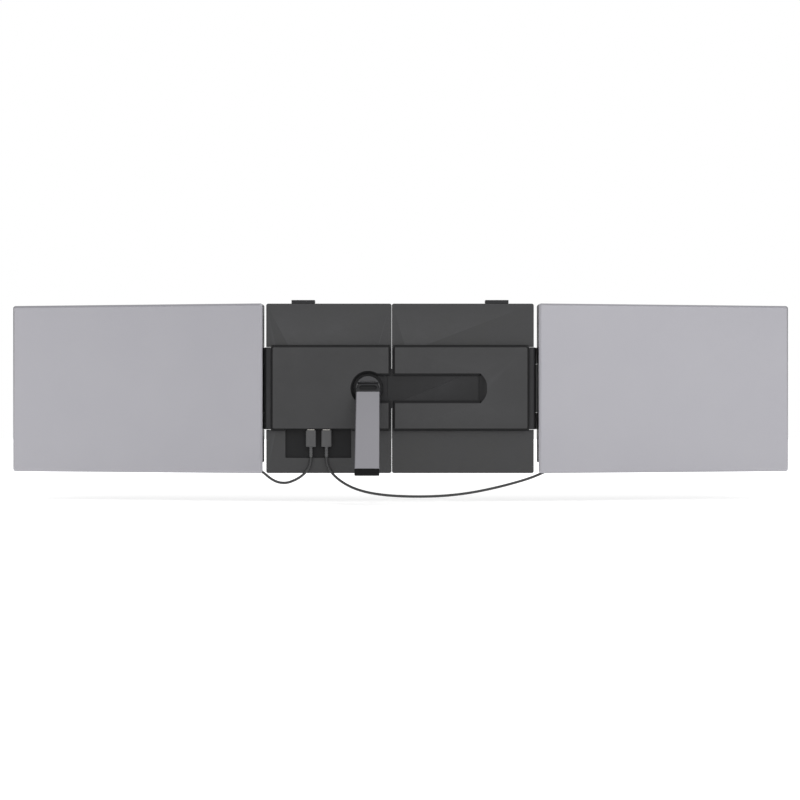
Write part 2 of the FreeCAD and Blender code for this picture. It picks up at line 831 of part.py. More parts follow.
class Screen:
    """One screen, drawn about its hinge axis with the screen flat and its display towards +Y."""

    def __init__(self, name, side, axis_y):
        self.name, self.side = name, side
        self.face = -axis_y
        self.back_seam = self.face - S.LidThick + S.BackThick
        self.back = self.face - S.LidThick
        self.plug_y = self.face - S.CablePlugDepth
        self.plug_z = -lid_half + S.CablePlugRise
        self.cavity_bottom = -lid_half + S.ChinHeight

    def x(self, *outward):
        """Distances outward from the hinge, as places on X."""
        return tuple(as_size(distance) * self.side for distance in outward)

    def span(self, near, far):
        """Two distances from the hinge as x levels, the lower first."""
        return self.x(near, far) if self.side > 0 else self.x(far, near)

    def place(self, thing):
        """Turns a piece to the screen's resting angle on its hinge."""
        place_on_hinge(thing, self.side)
        return thing

    def body(self, what):
        """A new piece of this screen."""
        return Piece(f"{self.name}_{what}")

    def make_back(self):
        """The metal back: bevelled round its outer face and dished inside."""
        piece = self.body("screen_back")
        outline = rectangle(self.x(0, S.LidLength), (-lid_half, lid_half))
        piece.add("y", self.back, self.back_seam, outline)
        piece.round(S.LidCorner, at_corner("y", outline))
        piece.bevel(S.BackBevel, on_level("y", self.back))
        rim = S.BackRim
        hollow = rectangle(self.x(rim, S.LidLength - rim), (-lid_half + rim, lid_half - rim))
        piece.cut("y", self.back + S.BackWall, self.back_seam, hollow)
        self.place(piece.body)

    def make_frame(self):
        """The plastic frame: display pocket, inner cavity, hinge recess, cable bay and port pocket."""
        piece = self.body("screen_frame")
        step = S.FrameStep
        outline = rectangle(self.x(step, S.LidLength - step), (-lid_half + step, lid_half - step))
        piece.add("y", self.back_seam, self.face, outline)
        piece.round(S.LidCorner, at_corner("y", outline))
        rim = S.CavityRim
        cavity_x = self.x(rim + S.LeafReach, S.LidLength - rim)
        cavity = rectangle(cavity_x, (self.cavity_bottom, lid_half - rim))
        glass = rectangle(*self.glass_span(S.GlassGap))
        piece.cut("y", self.back_seam, self.face - S.GlassThick, cavity)
        piece.cut("y", self.face - S.GlassThick - S.GlassGap, self.face, glass)
        leaf_half = S.KnuckleHalf + S.RunGap
        leaf = rectangle(self.x(0, S.LeafReach + S.GlassGap), (-leaf_half, leaf_half))
        piece.cut("y", self.face - S.LeafThick - S.PinFit, self.face, leaf)
        if self.side < 0:
            room = S.ArmHalf + S.BarrelClear
            piece.cut("z", -room, room, Ring(0, 0, S.BarrelRadius + S.BarrelClear))
        bay = rectangle(self.x(0, S.CableBay), (-lid_half, -lid_half + S.CableBayHeight))
        piece.cut("y", self.back_seam, self.face, bay)
        port_half = S.PortWide / 2 + S.PortPlay
        port_room = rectangle(
            self.x(S.CableBay - S.Overshoot, S.CableBay + S.PortLong + S.PortPlay * 2),
            (self.plug_z - port_half, self.plug_z + port_half))
        piece.cut("y", self.back_seam, self.plug_y + S.PortThick / 2 + S.PortPlay, port_room)
        for up in (-1, 1):
            middle, half = S.VentMiddle * up, S.VentLength / 2
            vent_y = self.vent_levels()
            vent = rectangle(vent_y, (middle - half, middle + half))
            piece.cut("x", *self.span(ORIGIN, S.VentDeep + step), vent)
        for x, z in self.leaf_screw_spots():
            piece.cut("y", self.face - S.LeafScrewLong, self.face - S.LeafThick, Ring(x, z, S.ScrewShank))
        self.place(piece.body)

    def glass_span(self, grow):
        """The glass's x and z levels, grown by a margin."""
        near, far = S.LeafReach + S.GlassRim - grow, S.LidLength - S.GlassRim - S.FrameStep + grow
        low, high = self.cavity_bottom - S.GlassRim - grow, lid_half - S.GlassRim - S.FrameStep + grow
        return self.x(near, far), (low, high)

    def vent_levels(self):
        """The two y levels between which the edge vents lie."""
        middle = (self.back_seam + self.face - S.LeafThick) / 2
        return middle - S.VentHeight / 2, middle + S.VentHeight / 2

    def leaf_screw_spots(self):
        """Where the leaf's screws stand, as x and z."""
        return [(S.LeafScrewX * self.side, S.LeafScrewZ * up) for up in (-1, 1)]

    def make_vents(self):
        """Two small slotted insets in the inner edge, one high and one low."""
        insets = []
        low_y, high_y = self.vent_levels()
        play = S.GlassGap / 2
        for up in (-1, 1):
            middle, half = S.VentMiddle * up, S.VentLength / 2
            z = (middle - half + play, middle + half - play)
            x = self.span(S.FrameStep + play, S.FrameStep + S.VentDeep)
            insets.append(block(x, (low_y + play, high_y - play), z))
        node(f"{self.name}_edge_vents", self.place(group(*insets)))

    def make_display(self):
        """The display glass and the backlight panel behind it."""
        x, z = self.glass_span(ORIGIN)
        x = x if self.side > 0 else (x[1], x[0])
        glass = block(x, (self.face - S.GlassThick, self.face - S.GlassGap / 2), z)
        glass = rounded(glass, S.PlateCorner, upright("y"))
        node(f"{self.name}_display_glass", self.place(glass))
        rim = S.CavityRim + S.GlassGap
        x = self.span(rim + S.LeafReach, S.LidLength - rim)
        front = self.face - S.GlassThick
        z = (self.cavity_bottom + S.GlassGap, lid_half - rim)
        panel = block(x, (front - S.PanelThick, front), z)
        node(f"{self.name}_backlight_panel", self.place(group(panel)))

    def make_board(self):
        """The driver board, behind the backlight panel."""
        rim = S.CavityRim * 2 + S.LeafReach
        x = self.span(rim, rim + S.LidLength / 3)
        back = self.face - S.GlassThick - S.PanelThick - S.BoardThick
        z = (self.cavity_bottom + S.BoardGap, self.cavity_bottom + S.LidHeight / 5)
        board = block(x, (back, back + S.BoardThick), z)
        node(f"{self.name}_driver_board", self.place(group(board)))

    def make_port(self):
        """The screen's port, a shell with a socket in it."""
        x = self.span(S.CableBay, S.CableBay + S.PortLong)
        half_y, half_z = S.PortThick / 2, S.PortWide / 2
        y, z = self.plug_y, self.plug_z
        shell = block(x, (y - half_y, y + half_y), (z - half_z, z + half_z))
        deep = self.span(S.CableBay - S.Overshoot, S.CableBay + S.TongueLong + S.PortPlay * 2)
        half_y, half_z = S.TongueThick / 2 + S.PortPlay, S.TongueWide / 2 + S.PortPlay
        socket = block(deep, (y - half_y, y + half_y), (z - half_z, z + half_z))
        node(f"{self.name}_screen_port", self.place(less(shell, socket)))

    def make_plug(self):
        """The cable's straight plug, lying in the bay."""
        shoulder = S.CableBay - S.BarrelClear
        tail = shoulder - S.ScreenPlugLong
        end = tail - S.ScreenReliefLong
        half_y, half_z = S.PlugThick / 2, S.PlugWide / 2
        y, z = self.plug_y, self.plug_z
        case = block(self.span(tail, shoulder), (y - half_y, y + half_y), (z - half_z, z + half_z))
        case = rounded(case, S.PlugRound, upright("x"))
        half_y, half_z = S.TongueThick / 2, S.TongueWide / 2
        tongue_x = self.span(shoulder - S.Overshoot, S.CableBay + S.TongueLong)
        tongue = block(tongue_x, (y - half_y, y + half_y), (z - half_z, z + half_z))
        radii = (S.ReliefNarrow, S.ReliefWide) if self.side > 0 else (S.ReliefWide, S.ReliefNarrow)
        relief = cone("x", (y, z), *self.span(end, tail), *radii)
        node(f"{self.name}_screen_plug", self.place(joined(case, tongue, relief)))

    def make_leaf(self):
        """The hinge leaf: a knuckle and a wing let into the frame's inner edge."""
        piece = self.body("hinge_leaf")
        back = self.face - S.LeafThick
        piece.add("z", -S.KnuckleHalf, S.KnuckleHalf, Ring(0, 0, S.BarrelRadius))
        if self.side > 0:
            web = rectangle((ORIGIN, S.LeafWeb), (back, ORIGIN))
            piece.add("z", -S.KnuckleHalf, S.KnuckleHalf, web)
        wing = rectangle(self.x(0, S.LeafReach), (back, self.face))
        piece.add("z", -S.KnuckleHalf, S.KnuckleHalf, wing)
        piece.cut("z", -S.KnuckleHalf, S.KnuckleHalf, Ring(0, 0, S.HingePin + S.PinFit))
        for x, z in self.leaf_screw_spots():
            piece.cut("y", back, self.face, Ring(x, z, S.ScrewShank + S.PinFit))
            piece.cut("y", self.face - S.ScrewHeadThick, self.face, Ring(x, z, S.ScrewHead + S.PinFit))
        self.place(piece.body)

    def make_screws(self):
        """The two screws that hold the leaf to the frame."""
        screws = []
        for spot in self.leaf_screw_spots():
            tip = self.face - S.LeafScrewLong
            low = self.face - S.ScrewHeadThick
            shank = rod("y", spot, tip, low, S.ScrewShank)
            screws.append(joined(shank, rod("y", spot, low, self.face, S.ScrewHead)))
        node(f"{self.name}_leaf_screws", self.place(group(*screws)))

    def make(self):
        """Makes every piece of the screen."""
        self.make_back()
        self.make_frame()
        self.make_vents()
        self.make_display()
        self.make_board()
        self.make_port()
        self.make_plug()
        self.make_leaf()
        self.make_screws()


# Hub board, ports and the bracket's plugs

def make_hub():
    """The hub board, its two ports and their plugs."""
    low_z = -S.CoverBottom + S.CoverWall
    board_x = (S.LeftPortX - S.HubBoardEdge, S.RightPortX + S.HubBoardEdge)
    board = block(board_x, (plate_back - S.BoardThick, plate_back), (low_z, low_z + S.HubBoardHeight))
    node("hub_board", board)
    half_y = S.PortThick / 2
    ports, mouth = [], -S.CoverBottom + S.BottomScoop / 2
    for label, x in (("left_hub_plug", S.LeftPortX), ("right_hub_plug", S.RightPortX)):
        half_x = S.PortWide / 2
        shell_y = (port_y - half_y, port_y + half_y)
        shell = block((x - half_x, x + half_x), shell_y, (mouth, mouth + S.PortLong))
        half_x, play_y = S.TongueWide / 2 + S.PortPlay, S.TongueThick / 2 + S.PortPlay
        top = mouth + S.TongueLong + S.PortPlay * 2
        socket_y = (port_y - play_y, port_y + play_y)
        socket = block((x - half_x, x + half_x), socket_y, (mouth - S.Overshoot, top))
        ports.append(less(shell, socket))
        make_hub_plug(label, x, mouth)
    node("hub_ports", group(*ports))


def make_hub_plug(label, x, mouth):
    """A straight plug with its tongue in the port above it and its strain relief below."""
    shoulder = mouth - S.BarrelClear
    tail = shoulder - S.PlugLong
    half_x, half_y = S.PlugWide / 2, S.PlugThick / 2
    case = block((x - half_x, x + half_x), (port_y - half_y, port_y + half_y), (tail, shoulder))
    case = rounded(case, S.PlugRound, upright("z"))
    half_x, half_y = S.TongueWide / 2, S.TongueThick / 2
    tongue_z = (shoulder - S.Overshoot, mouth + S.TongueLong)
    tongue = block((x - half_x, x + half_x), (port_y - half_y, port_y + half_y), tongue_z)
    relief = cone("z", (x, port_y), tail - S.ReliefLong, tail, S.ReliefNarrow, S.ReliefWide)
    node(label, joined(case, tongue, relief))


# Top hooks

def make_hook(name, side):
    """One sliding hook with its rubber pad and its spring."""
    middle = (plate_back + plate_front) / 2
    x = (S.HookX * side - S.HookWide / 2, S.HookX * side + S.HookWide / 2)
    rest = plate_half + S.RunGap
    lip_low = hook_top - S.HookLip
    piece = Piece(f"{name}_hook")
    half = S.HookStrap / 2
    profile = [
        (middle - half, strap_low), (middle - half, rest), (plate_back, rest),
        (plate_back, hook_top), (S.HookReach, hook_top), (S.HookReach, lip_low - S.HookTipDrop),
        (S.HookReach - S.HookTip, lip_low - S.HookTipDrop), (S.HookReach - S.HookTip, lip_low),
        (ORIGIN, lip_low), (ORIGIN, rest), (middle + half, rest), (middle + half, strap_low),
    ]
    piece.add("x", *x, profile)
    piece.round(S.HookRound, at_corner("x", [(plate_back, hook_top), (S.HookReach, hook_top)]))
    mouth = (S.BarrelClear, S.HookReach - S.HookTip - S.BarrelClear)
    pad = block((x[0] + S.HookPadInset, x[1] - S.HookPadInset), mouth, (lip_low - S.HookPadThick, lip_low))
    node(f"{name}_hook_pad", rounded(pad, S.HookPadThick / 2, upright("z")))
    coil = rod("z", (S.HookX * side, middle), slot_low, strap_low, S.SpringRadius)
    node(f"{name}_hook_spring", coil)


# Stand

pivot_y = cover_back + S.PivotDepth
hub_low = pocket_floor - S.RunGap
hub_base = hub_low - S.HubBase
hub_top = cover_back - S.HubCrown


def make_stand_hub():
    """The turning hub with its ears, its screw, washer and pin."""
    piece = Piece("stand_hub")
    piece.add("y", hub_top, hub_low, Ring(S.HubX, 0, S.HubRadius))
    piece.round(S.HubRound, on_level("y", hub_top))
    gap = S.RootHalf + S.RunGap
    notch = rectangle((S.HubX - gap, S.HubX + gap), (-S.HubRadius - S.Overshoot, S.HubDomeLow))
    piece.cut("y", hub_top, hub_base, notch)
    for side in (-1, 1):
        near = S.HubX + (gap - S.Overshoot) * side
        far = S.HubX + (S.HubRadius + S.Overshoot) * side
        below = rectangle((near, far), (-S.HubRadius - S.Overshoot, S.HubEarLow))
        piece.cut("y", hub_top, hub_base, below)
    spigot_end = plate_front - S.SpigotEnd
    piece.add("y", hub_low, spigot_end, Ring(S.HubX, 0, S.SpigotRadius))
    piece.cut("y", hub_base + S.Overshoot, spigot_end, Ring(S.HubX, 0, S.HubScrew))
    pin_half = S.HubRadius
    pin_bore = Ring(pivot_y, S.PivotRise, S.StandPin + S.PinFit / 2)
    piece.cut("x", S.HubX - pin_half, S.HubX + pin_half, pin_bore)
    washer_low = spigot_end
    head_low = washer_low + S.WasherThick
    hub = (S.HubX, ORIGIN)
    washer = rod("y", hub, washer_low, washer_low + S.WasherThick, S.WasherRadius)
    bore = rod("y", hub, washer_low - S.Overshoot, head_low + S.Overshoot, S.HubScrew + S.PinFit)
    node("stand_washer", less(washer, bore))
    shank = rod("y", hub, hub_base + S.Overshoot, head_low, S.HubScrew)
    head = rod("y", hub, head_low, plate_front - S.RunGap, S.HubScrewHead)
    node("stand_screw", joined(shank, head))
    pin_reach = S.RootHalf + S.RunGap * 2
    pin = rod("x", (pivot_y, S.PivotRise), S.HubX - pin_reach, S.HubX + pin_reach, S.StandPin)
    node("stand_pin", pin)


def tilt(thing):
    """Puts a piece drawn about the stand's pivot onto the pivot, tilted out to its resting angle."""
    lean = FreeCAD.Rotation(FreeCAD.Vector(1, 0, 0), -sheet.RestTilt)
    thing.Placement = FreeCAD.Placement(FreeCAD.Vector(), lean)
    place_at(thing, S.HubX, pivot_y, S.PivotRise)


def make_leg():
    """The stand's root, leg and foot, tilted out to their resting angle."""
    half = S.LegThick / 2
    root = Piece("stand_root")
    root.add("x", -S.RootHalf, S.RootHalf, Ring(0, 0, half))
    shoulder = -S.RootShoulder
    neck = rectangle((-S.RootHalf, S.RootHalf), (shoulder, ORIGIN))
    root.add("y", -half, half, neck)
    wide = rectangle((-S.LegWide / 2, S.LegWide / 2), (-S.LegStart, shoulder))
    root.add("y", -half, half, wide)
    slot = rectangle((-S.SlotHalf, S.SlotHalf), (S.SlotLow, S.SlotHigh))
    root.cut("y", -half, -half + S.SlotDeep, slot)
    root.round(S.SlotCorner, at_corner("y", slot))
    root.cut("x", -S.RootHalf, S.RootHalf, Ring(0, 0, S.StandPin + S.PinFit))
    tilt(root.body)
    leg = Piece("stand_leg")
    foot_top = -(S.LegLength - S.FootLong)
    leg_x = (-S.LegWide / 2, S.LegWide / 2)
    leg.add("y", -half, half, rectangle(leg_x, (foot_top, -S.LegStart)))
    long_edge = upright("z")
    leg.bevel(S.LegBevel, lambda edge: long_edge(edge) and edge.CenterOfMass.y < 0)
    tilt(leg.body)
    foot = Piece("stand_foot")
    foot_half = S.FootThick / 2
    foot.add("y", -foot_half, foot_half, rectangle(leg_x, (-S.LegLength, foot_top)))
    foot.round(S.FootRound, upright("x"))
    tilt(foot.body)


# Cables

def cable(label, route):
    """A round cable on straight runs joined by arcs as large as the runs allow."""
    points = [FreeCAD.Vector(*point) for point in route]
    edges, start, radii = [], points[0], []
    for before, corner, after in zip(points, points[1:], points[2:]):
        arrive, leave = (corner - before).normalize(), (after - corner).normalize()
        turn = arrive.getAngle(leave)
        shorter = min((corner - before).Length, (after - corner).Length)
        radius = ARC_SHARE * shorter / math.tan(turn / 2)
        radii.append(radius)
        tangent = ARC_SHARE * shorter
        arc_start, arc_end = corner - arrive * tangent, corner + leave * tangent
        inward = (leave - arrive).normalize()
        middle = corner + inward * (radius / math.cos(turn / 2) - radius)
        edges.append(Part.LineSegment(start, arc_start).toShape())
        edges.append(Part.Arc(arc_start, middle, arc_end).toShape())
        start = arc_end
    edges.append(Part.LineSegment(start, points[-1]).toShape())
    wire = Part.Wire(edges)
    section = Part.Wire(Part.makeCircle(sheet.CableRadius, points[0], points[1] - points[0]))
    solid = wire.makePipeShell([section], True, True)
    expected = math.pi * sheet.CableRadius ** 2 * wire.Length
    print(f"{label}: length {wire.Length:.1f}, radii {min(radii):.1f} to {max(radii):.1f}, "
          f"volume over section times length {solid.Volume / expected:.4f}")
    thing = doc.addObject("Part::Feature", "Cable")
    thing.Shape = solid
    node(label, thing)


make_left_plate()
make_plate("right_plate", 1, right_inner)
make_left_cover()
make_right_cover()
make_tray()
make_shoes()
make_pads("left_seat_pads", (-S.PadOuter, left_inner - S.PadInset))
make_pads("right_seat_pads", (right_inner + S.PadInset, S.PadOuter))
make_bracket_screws()
make_arm("left_hinge_arm", -1, S.LeftAxisY)
make_arm("right_hinge_arm", 1, S.RightAxisY)
make_pin("left_hinge_pin", -1, S.LeftAxisY)
make_pin("right_hinge_pin", 1, S.RightAxisY)
Screen("left", -1, S.LeftAxisY).make()
Screen("right", 1, S.RightAxisY).make()
make_hub()
make_hook("left", -1)
make_hook("right", 1)
make_stand_hub()
make_leg()
cable("left_cable", LEFT_ROUTE)
cable("right_cable", RIGHT_ROUTE)
doc.recompute()

for thing in doc.Objects:
    if "Invalid" in thing.State or "Error" in thing.State:
        raise ValueError(f"{thing.Label} ({thing.Name}) is {thing.State}")
os.makedirs("parts", exist_ok=True)
for thing in NODES:
    shape = thing.Shape
    if shape.isNull() or not shape.isValid() or not shape.Solids:
        raise ValueError(f"{thing.Label} has no valid solid")
    shape.exportStep(f"parts/{thing.Label}.step")
print(f"{len(NODES)} nodes")
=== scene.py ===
"""Laptop screen extender: two hinged screens on a sliding bracket, dressed for its picture.

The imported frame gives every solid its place. This script eases the solids' edges, adds
the small parts that the frame leaves out, gives each finish its own material, and sets
up the camera, the light and the floor. Lengths in the classes are in millimetres.
"""

import json
import logging
import math
from dataclasses import dataclass
from enum import Enum
from typing import Any, Callable, Sequence

import bmesh
import bpy
import numpy as np
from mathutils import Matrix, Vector

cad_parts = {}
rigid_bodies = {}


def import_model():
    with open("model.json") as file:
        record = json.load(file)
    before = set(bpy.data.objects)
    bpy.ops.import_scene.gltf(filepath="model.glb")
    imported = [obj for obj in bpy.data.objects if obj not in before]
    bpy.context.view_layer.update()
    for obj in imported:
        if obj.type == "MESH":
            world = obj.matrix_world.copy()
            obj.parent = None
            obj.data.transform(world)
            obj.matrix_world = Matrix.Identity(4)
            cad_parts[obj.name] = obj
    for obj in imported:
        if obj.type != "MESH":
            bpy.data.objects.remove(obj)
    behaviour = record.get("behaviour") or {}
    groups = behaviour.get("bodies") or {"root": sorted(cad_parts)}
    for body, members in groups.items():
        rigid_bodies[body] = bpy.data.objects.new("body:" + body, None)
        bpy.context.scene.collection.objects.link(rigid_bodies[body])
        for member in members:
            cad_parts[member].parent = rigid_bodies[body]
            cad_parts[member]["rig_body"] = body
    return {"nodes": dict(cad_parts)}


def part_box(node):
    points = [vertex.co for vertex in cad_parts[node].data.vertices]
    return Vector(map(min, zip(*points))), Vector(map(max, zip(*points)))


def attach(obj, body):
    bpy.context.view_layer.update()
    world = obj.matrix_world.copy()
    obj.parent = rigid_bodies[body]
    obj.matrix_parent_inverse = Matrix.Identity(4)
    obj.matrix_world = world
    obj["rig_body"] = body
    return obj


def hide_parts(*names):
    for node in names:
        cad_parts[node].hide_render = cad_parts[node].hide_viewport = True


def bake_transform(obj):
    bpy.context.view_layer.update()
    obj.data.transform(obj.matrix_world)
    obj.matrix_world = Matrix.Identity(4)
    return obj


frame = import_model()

LOG = logging.getLogger("screen_extender")
MM = 0.001
Points = Sequence[tuple[float, float, float]]
FaceTest = Callable[[np.ndarray, np.ndarray], np.ndarray]


class Side(Enum):
    """The two screens, each with the sign of its outward way along X."""

    LEFT = -1
    RIGHT = 1

    @property
    def word(self) -> str:
        """The side's name as the solids' names begin with it."""
        return self.name.lower()


# Meshes


def lattice(rows: int, columns: int, round_rows: bool = False, round_columns: bool = False) -> np.ndarray:
    """Four-cornered faces over a grid of points, row after row.

    Args:
        rows: number of rows of points.
        columns: number of points in a row.
        round_rows: joins the last row to the first.
        round_columns: joins the last point of a row to its first.

    Returns:
        An array of faces, four point numbers each.
    """
    i, j = np.meshgrid(
        np.arange(rows if round_rows else rows - 1),
        np.arange(columns if round_columns else columns - 1),
        indexing="ij",
    )
    k, m = (i + 1) % rows, (j + 1) % columns
    return np.stack([i * columns + j, i * columns + m, k * columns + m, k * columns + j], -1).reshape(-1, 4)


def shape_from(name: str, points: np.ndarray, faces: Sequence[Sequence[int]], smooth: bool = True) -> bpy.types.Object:
    """Makes an object from points in millimetres and faces, with its faces turned outwards.

    Args:
        name: the piece's name.
        points: an array of points, three numbers each.
        faces: point numbers of each face.
        smooth: shades the faces smooth.

    Returns:
        The object, at the origin, unturned and unscaled.
    """
    mesh = bpy.data.meshes.new(name)
    mesh.from_pydata((np.asarray(points).reshape(-1, 3) * MM).tolist(), [], [list(map(int, f)) for f in faces])
    work = bmesh.new()
    work.from_mesh(mesh)
    bmesh.ops.remove_doubles(work, verts=work.verts, dist=1e-7)
    bmesh.ops.recalc_face_normals(work, faces=work.faces)
    work.to_mesh(mesh)
    work.free()
    mesh.polygons.foreach_set("use_smooth", np.full(len(mesh.polygons), smooth))
    mesh.set_sharp_from_angle(angle=math.radians(38))
    piece = bpy.data.objects.new(name, mesh)
    bpy.context.scene.collection.objects.link(piece)
    return piece


def skin(name: str, rings: np.ndarray, capped: bool = True, smooth: bool = True) -> bpy.types.Object:
    """Carries closed rings along a path and closes both ends with a fan round the end ring's middle.

    Args:
        name: the piece's name.
        rings: array of rings × points × 3, in millimetres.
        capped: closes the two ends.
        smooth: shades the faces smooth.

    Returns:
        The finished object.
    """
    count, around = rings.shape[:2]
    points = rings.reshape(-1, 3)
    faces = lattice(count, around, round_columns=True).tolist()
    if capped:
        points = np.vstack([points, rings[0].mean(0), rings[-1].mean(0)])
        j = np.arange(around)
        first = np.stack([(j + 1) % around, j, np.full(around, count * around)], -1)
        last = np.stack([j, (j + 1) % around, np.full(around, 1)], -1) + (count - 1) * around
        last[:, 2] = count * around + 1
        faces += first.tolist() + last.tolist()
    return shape_from(name, points, faces, smooth)


def superellipse(half_a: np.ndarray, half_b: np.ndarray, power: np.ndarray, around: int) -> np.ndarray:
    """Flat rings of the form |a/A|^p + |b/B|^p = 1: a circle at p = 2, nearly a rectangle at p = 8.

    Args:
        half_a: half width of each ring.
        half_b: half height of each ring.
        power: the exponent p of each ring.
        around: points in a ring.

    Returns:
        Array of rings × points × 2.
    """
    turn = np.linspace(0, 2 * math.pi, around, endpoint=False)
    c, s = np.cos(turn), np.sin(turn)
    e = 2 / np.asarray(power, float)[:, None]
    a = np.asarray(half_a, float)[:, None] * np.sign(c) * np.abs(c) ** e
    b = np.asarray(half_b, float)[:, None] * np.sign(s) * np.abs(s) ** e
    return np.stack([a, b], -1)


def turned(name: str, profile: np.ndarray, base: np.ndarray, axis: np.ndarray, around: int = 24) -> bpy.types.Object:
    """Turns a profile round an axis, with some of its rings pressed into a hexagon.

    A point is base + distance × axis + radius × f(t) × (cos t · side + sin t · up), where f(t)
    goes from 1, a circle, to cos 30° / cos(the angle from the nearest flat), a hexagon.

    Args:
        name: the piece's name.
        profile: rows of distance along the axis, radius and how much of a hexagon, 0 to 1.
        base: where the axis starts, in millimetres.
        axis: its direction, of length 1.
        around: points in a ring.

    Returns:
        The closed object.
    """
    turn = np.linspace(0, 2 * math.pi, around, endpoint=False)
    hexagon = math.cos(math.pi / 6) / np.cos((turn + math.pi / 6) % (math.pi / 3) - math.pi / 6)
    reach = profile[:, 1:2] * (1 + profile[:, 2:3] * (hexagon - 1))
    side = np.cross(axis, (0.0, 0.0, 1.0))
    side /= np.linalg.norm(side)
    up = np.cross(side, axis)
    spokes = np.cos(turn)[:, None] * side + np.sin(turn)[:, None] * up
    rings = base + profile[:, 0, None, None] * axis + reach[..., None] * spokes
    return skin(name, rings)


def rounded_rectangle(half_a: float, half_b: float, radius: float, arc: int = 6) -> np.ndarray:
    """A rectangle whose corners are quarter circles, walked once round.

    Args:
        half_a: half width.
        half_b: half height.
        radius: corner radius.
        arc: steps in each corner.

    Returns:
        Array of points × 2.
    """
    turn = np.linspace(0, math.pi / 2, arc + 1)
    quarter = np.stack([np.cos(turn), np.sin(turn)], -1) * radius
    parts = []
    for step, (sa, sb) in enumerate(((1, 1), (-1, 1), (-1, -1), (1, -1))):
        c, s = math.cos(step * math.pi / 2), math.sin(step * math.pi / 2)
        parts.append(quarter @ np.array([[c, s], [-s, c]]) + (sa * (half_a - radius), sb * (half_b - radius)))
    return np.vstack(parts)


def prism(name: str, outline: np.ndarray, low: float, high: float) -> bpy.types.Object:
    """Carries a flat outline straight along Y.

    Args:
        name: the piece's name.
        outline: points × 2, X and Z in millimetres.
        low: Y of the first face.
        high: Y of the second face.

    Returns:
        The closed object, with flat faces.
    """
    count = len(outline)
    points = [np.stack([outline[:, 0], np.full(count, level), outline[:, 1]], -1) for level in (low, high)]
    faces = lattice(2, count, round_columns=True).tolist() + [list(range(count)), list(range(2 * count - 1, count - 1, -1))]
    return shape_from(name, np.vstack(points), faces, smooth=False)


def joined(name: str, pieces: Sequence[bpy.types.Object]) -> bpy.types.Object:
    """Puts several pieces into one object.

    Args:
        name: the new object's name.
        pieces: objects at the origin, which are used up.

    Returns:
        The object that holds all their faces.
    """
    work = bmesh.new()
    for piece in pieces:
        work.from_mesh(piece.data)
        bpy.data.objects.remove(piece)
    mesh = bpy.data.meshes.new(name)
    work.to_mesh(mesh)
    work.free()
    whole = bpy.data.objects.new(name, mesh)
    bpy.context.scene.collection.objects.link(whole)
    return whole


def mark_edges(mesh: bpy.types.Mesh) -> None:
    """Stores on each point how sharply the surface turns there, 0 flat to 1 at 45 degrees.

    The value is the largest angle between the two faces at any edge of the point.

    Args:
        mesh: the mesh that gets the attribute "edge".
    """
    count = len(mesh.polygons)
    normals = np.empty(count * 3, np.float32)
    mesh.polygons.foreach_get("normal", normals)
    normals = normals.reshape(-1, 3)
    loops = np.empty(len(mesh.loops), np.int32)
    mesh.loops.foreach_get("edge_index", loops)
    totals = np.empty(count, np.int32)
    mesh.polygons.foreach_get("loop_total", totals)
    owner = np.repeat(np.arange(count), totals)
    order = np.argsort(loops, kind="stable")
    edge, face = loops[order], owner[order]
    pair = np.flatnonzero(edge[1:] == edge[:-1])
    cosine = np.clip((normals[face[pair]] * normals[face[pair + 1]]).sum(1), -1, 1)
    ends = np.empty(len(mesh.edges) * 2, np.int32)
    mesh.edges.foreach_get("vertices", ends)
    ends = ends.reshape(-1, 2)[edge[pair]]
    value = np.zeros(len(mesh.vertices), np.float32)
    turn = np.minimum(np.arccos(cosine) / math.radians(45), 1).astype(np.float32)
    np.maximum.at(value, ends[:, 0], turn)
    np.maximum.at(value, ends[:, 1], turn)
    attribute = mesh.attributes.new("edge", "FLOAT", "POINT")
    attribute.data.foreach_set("value", value)


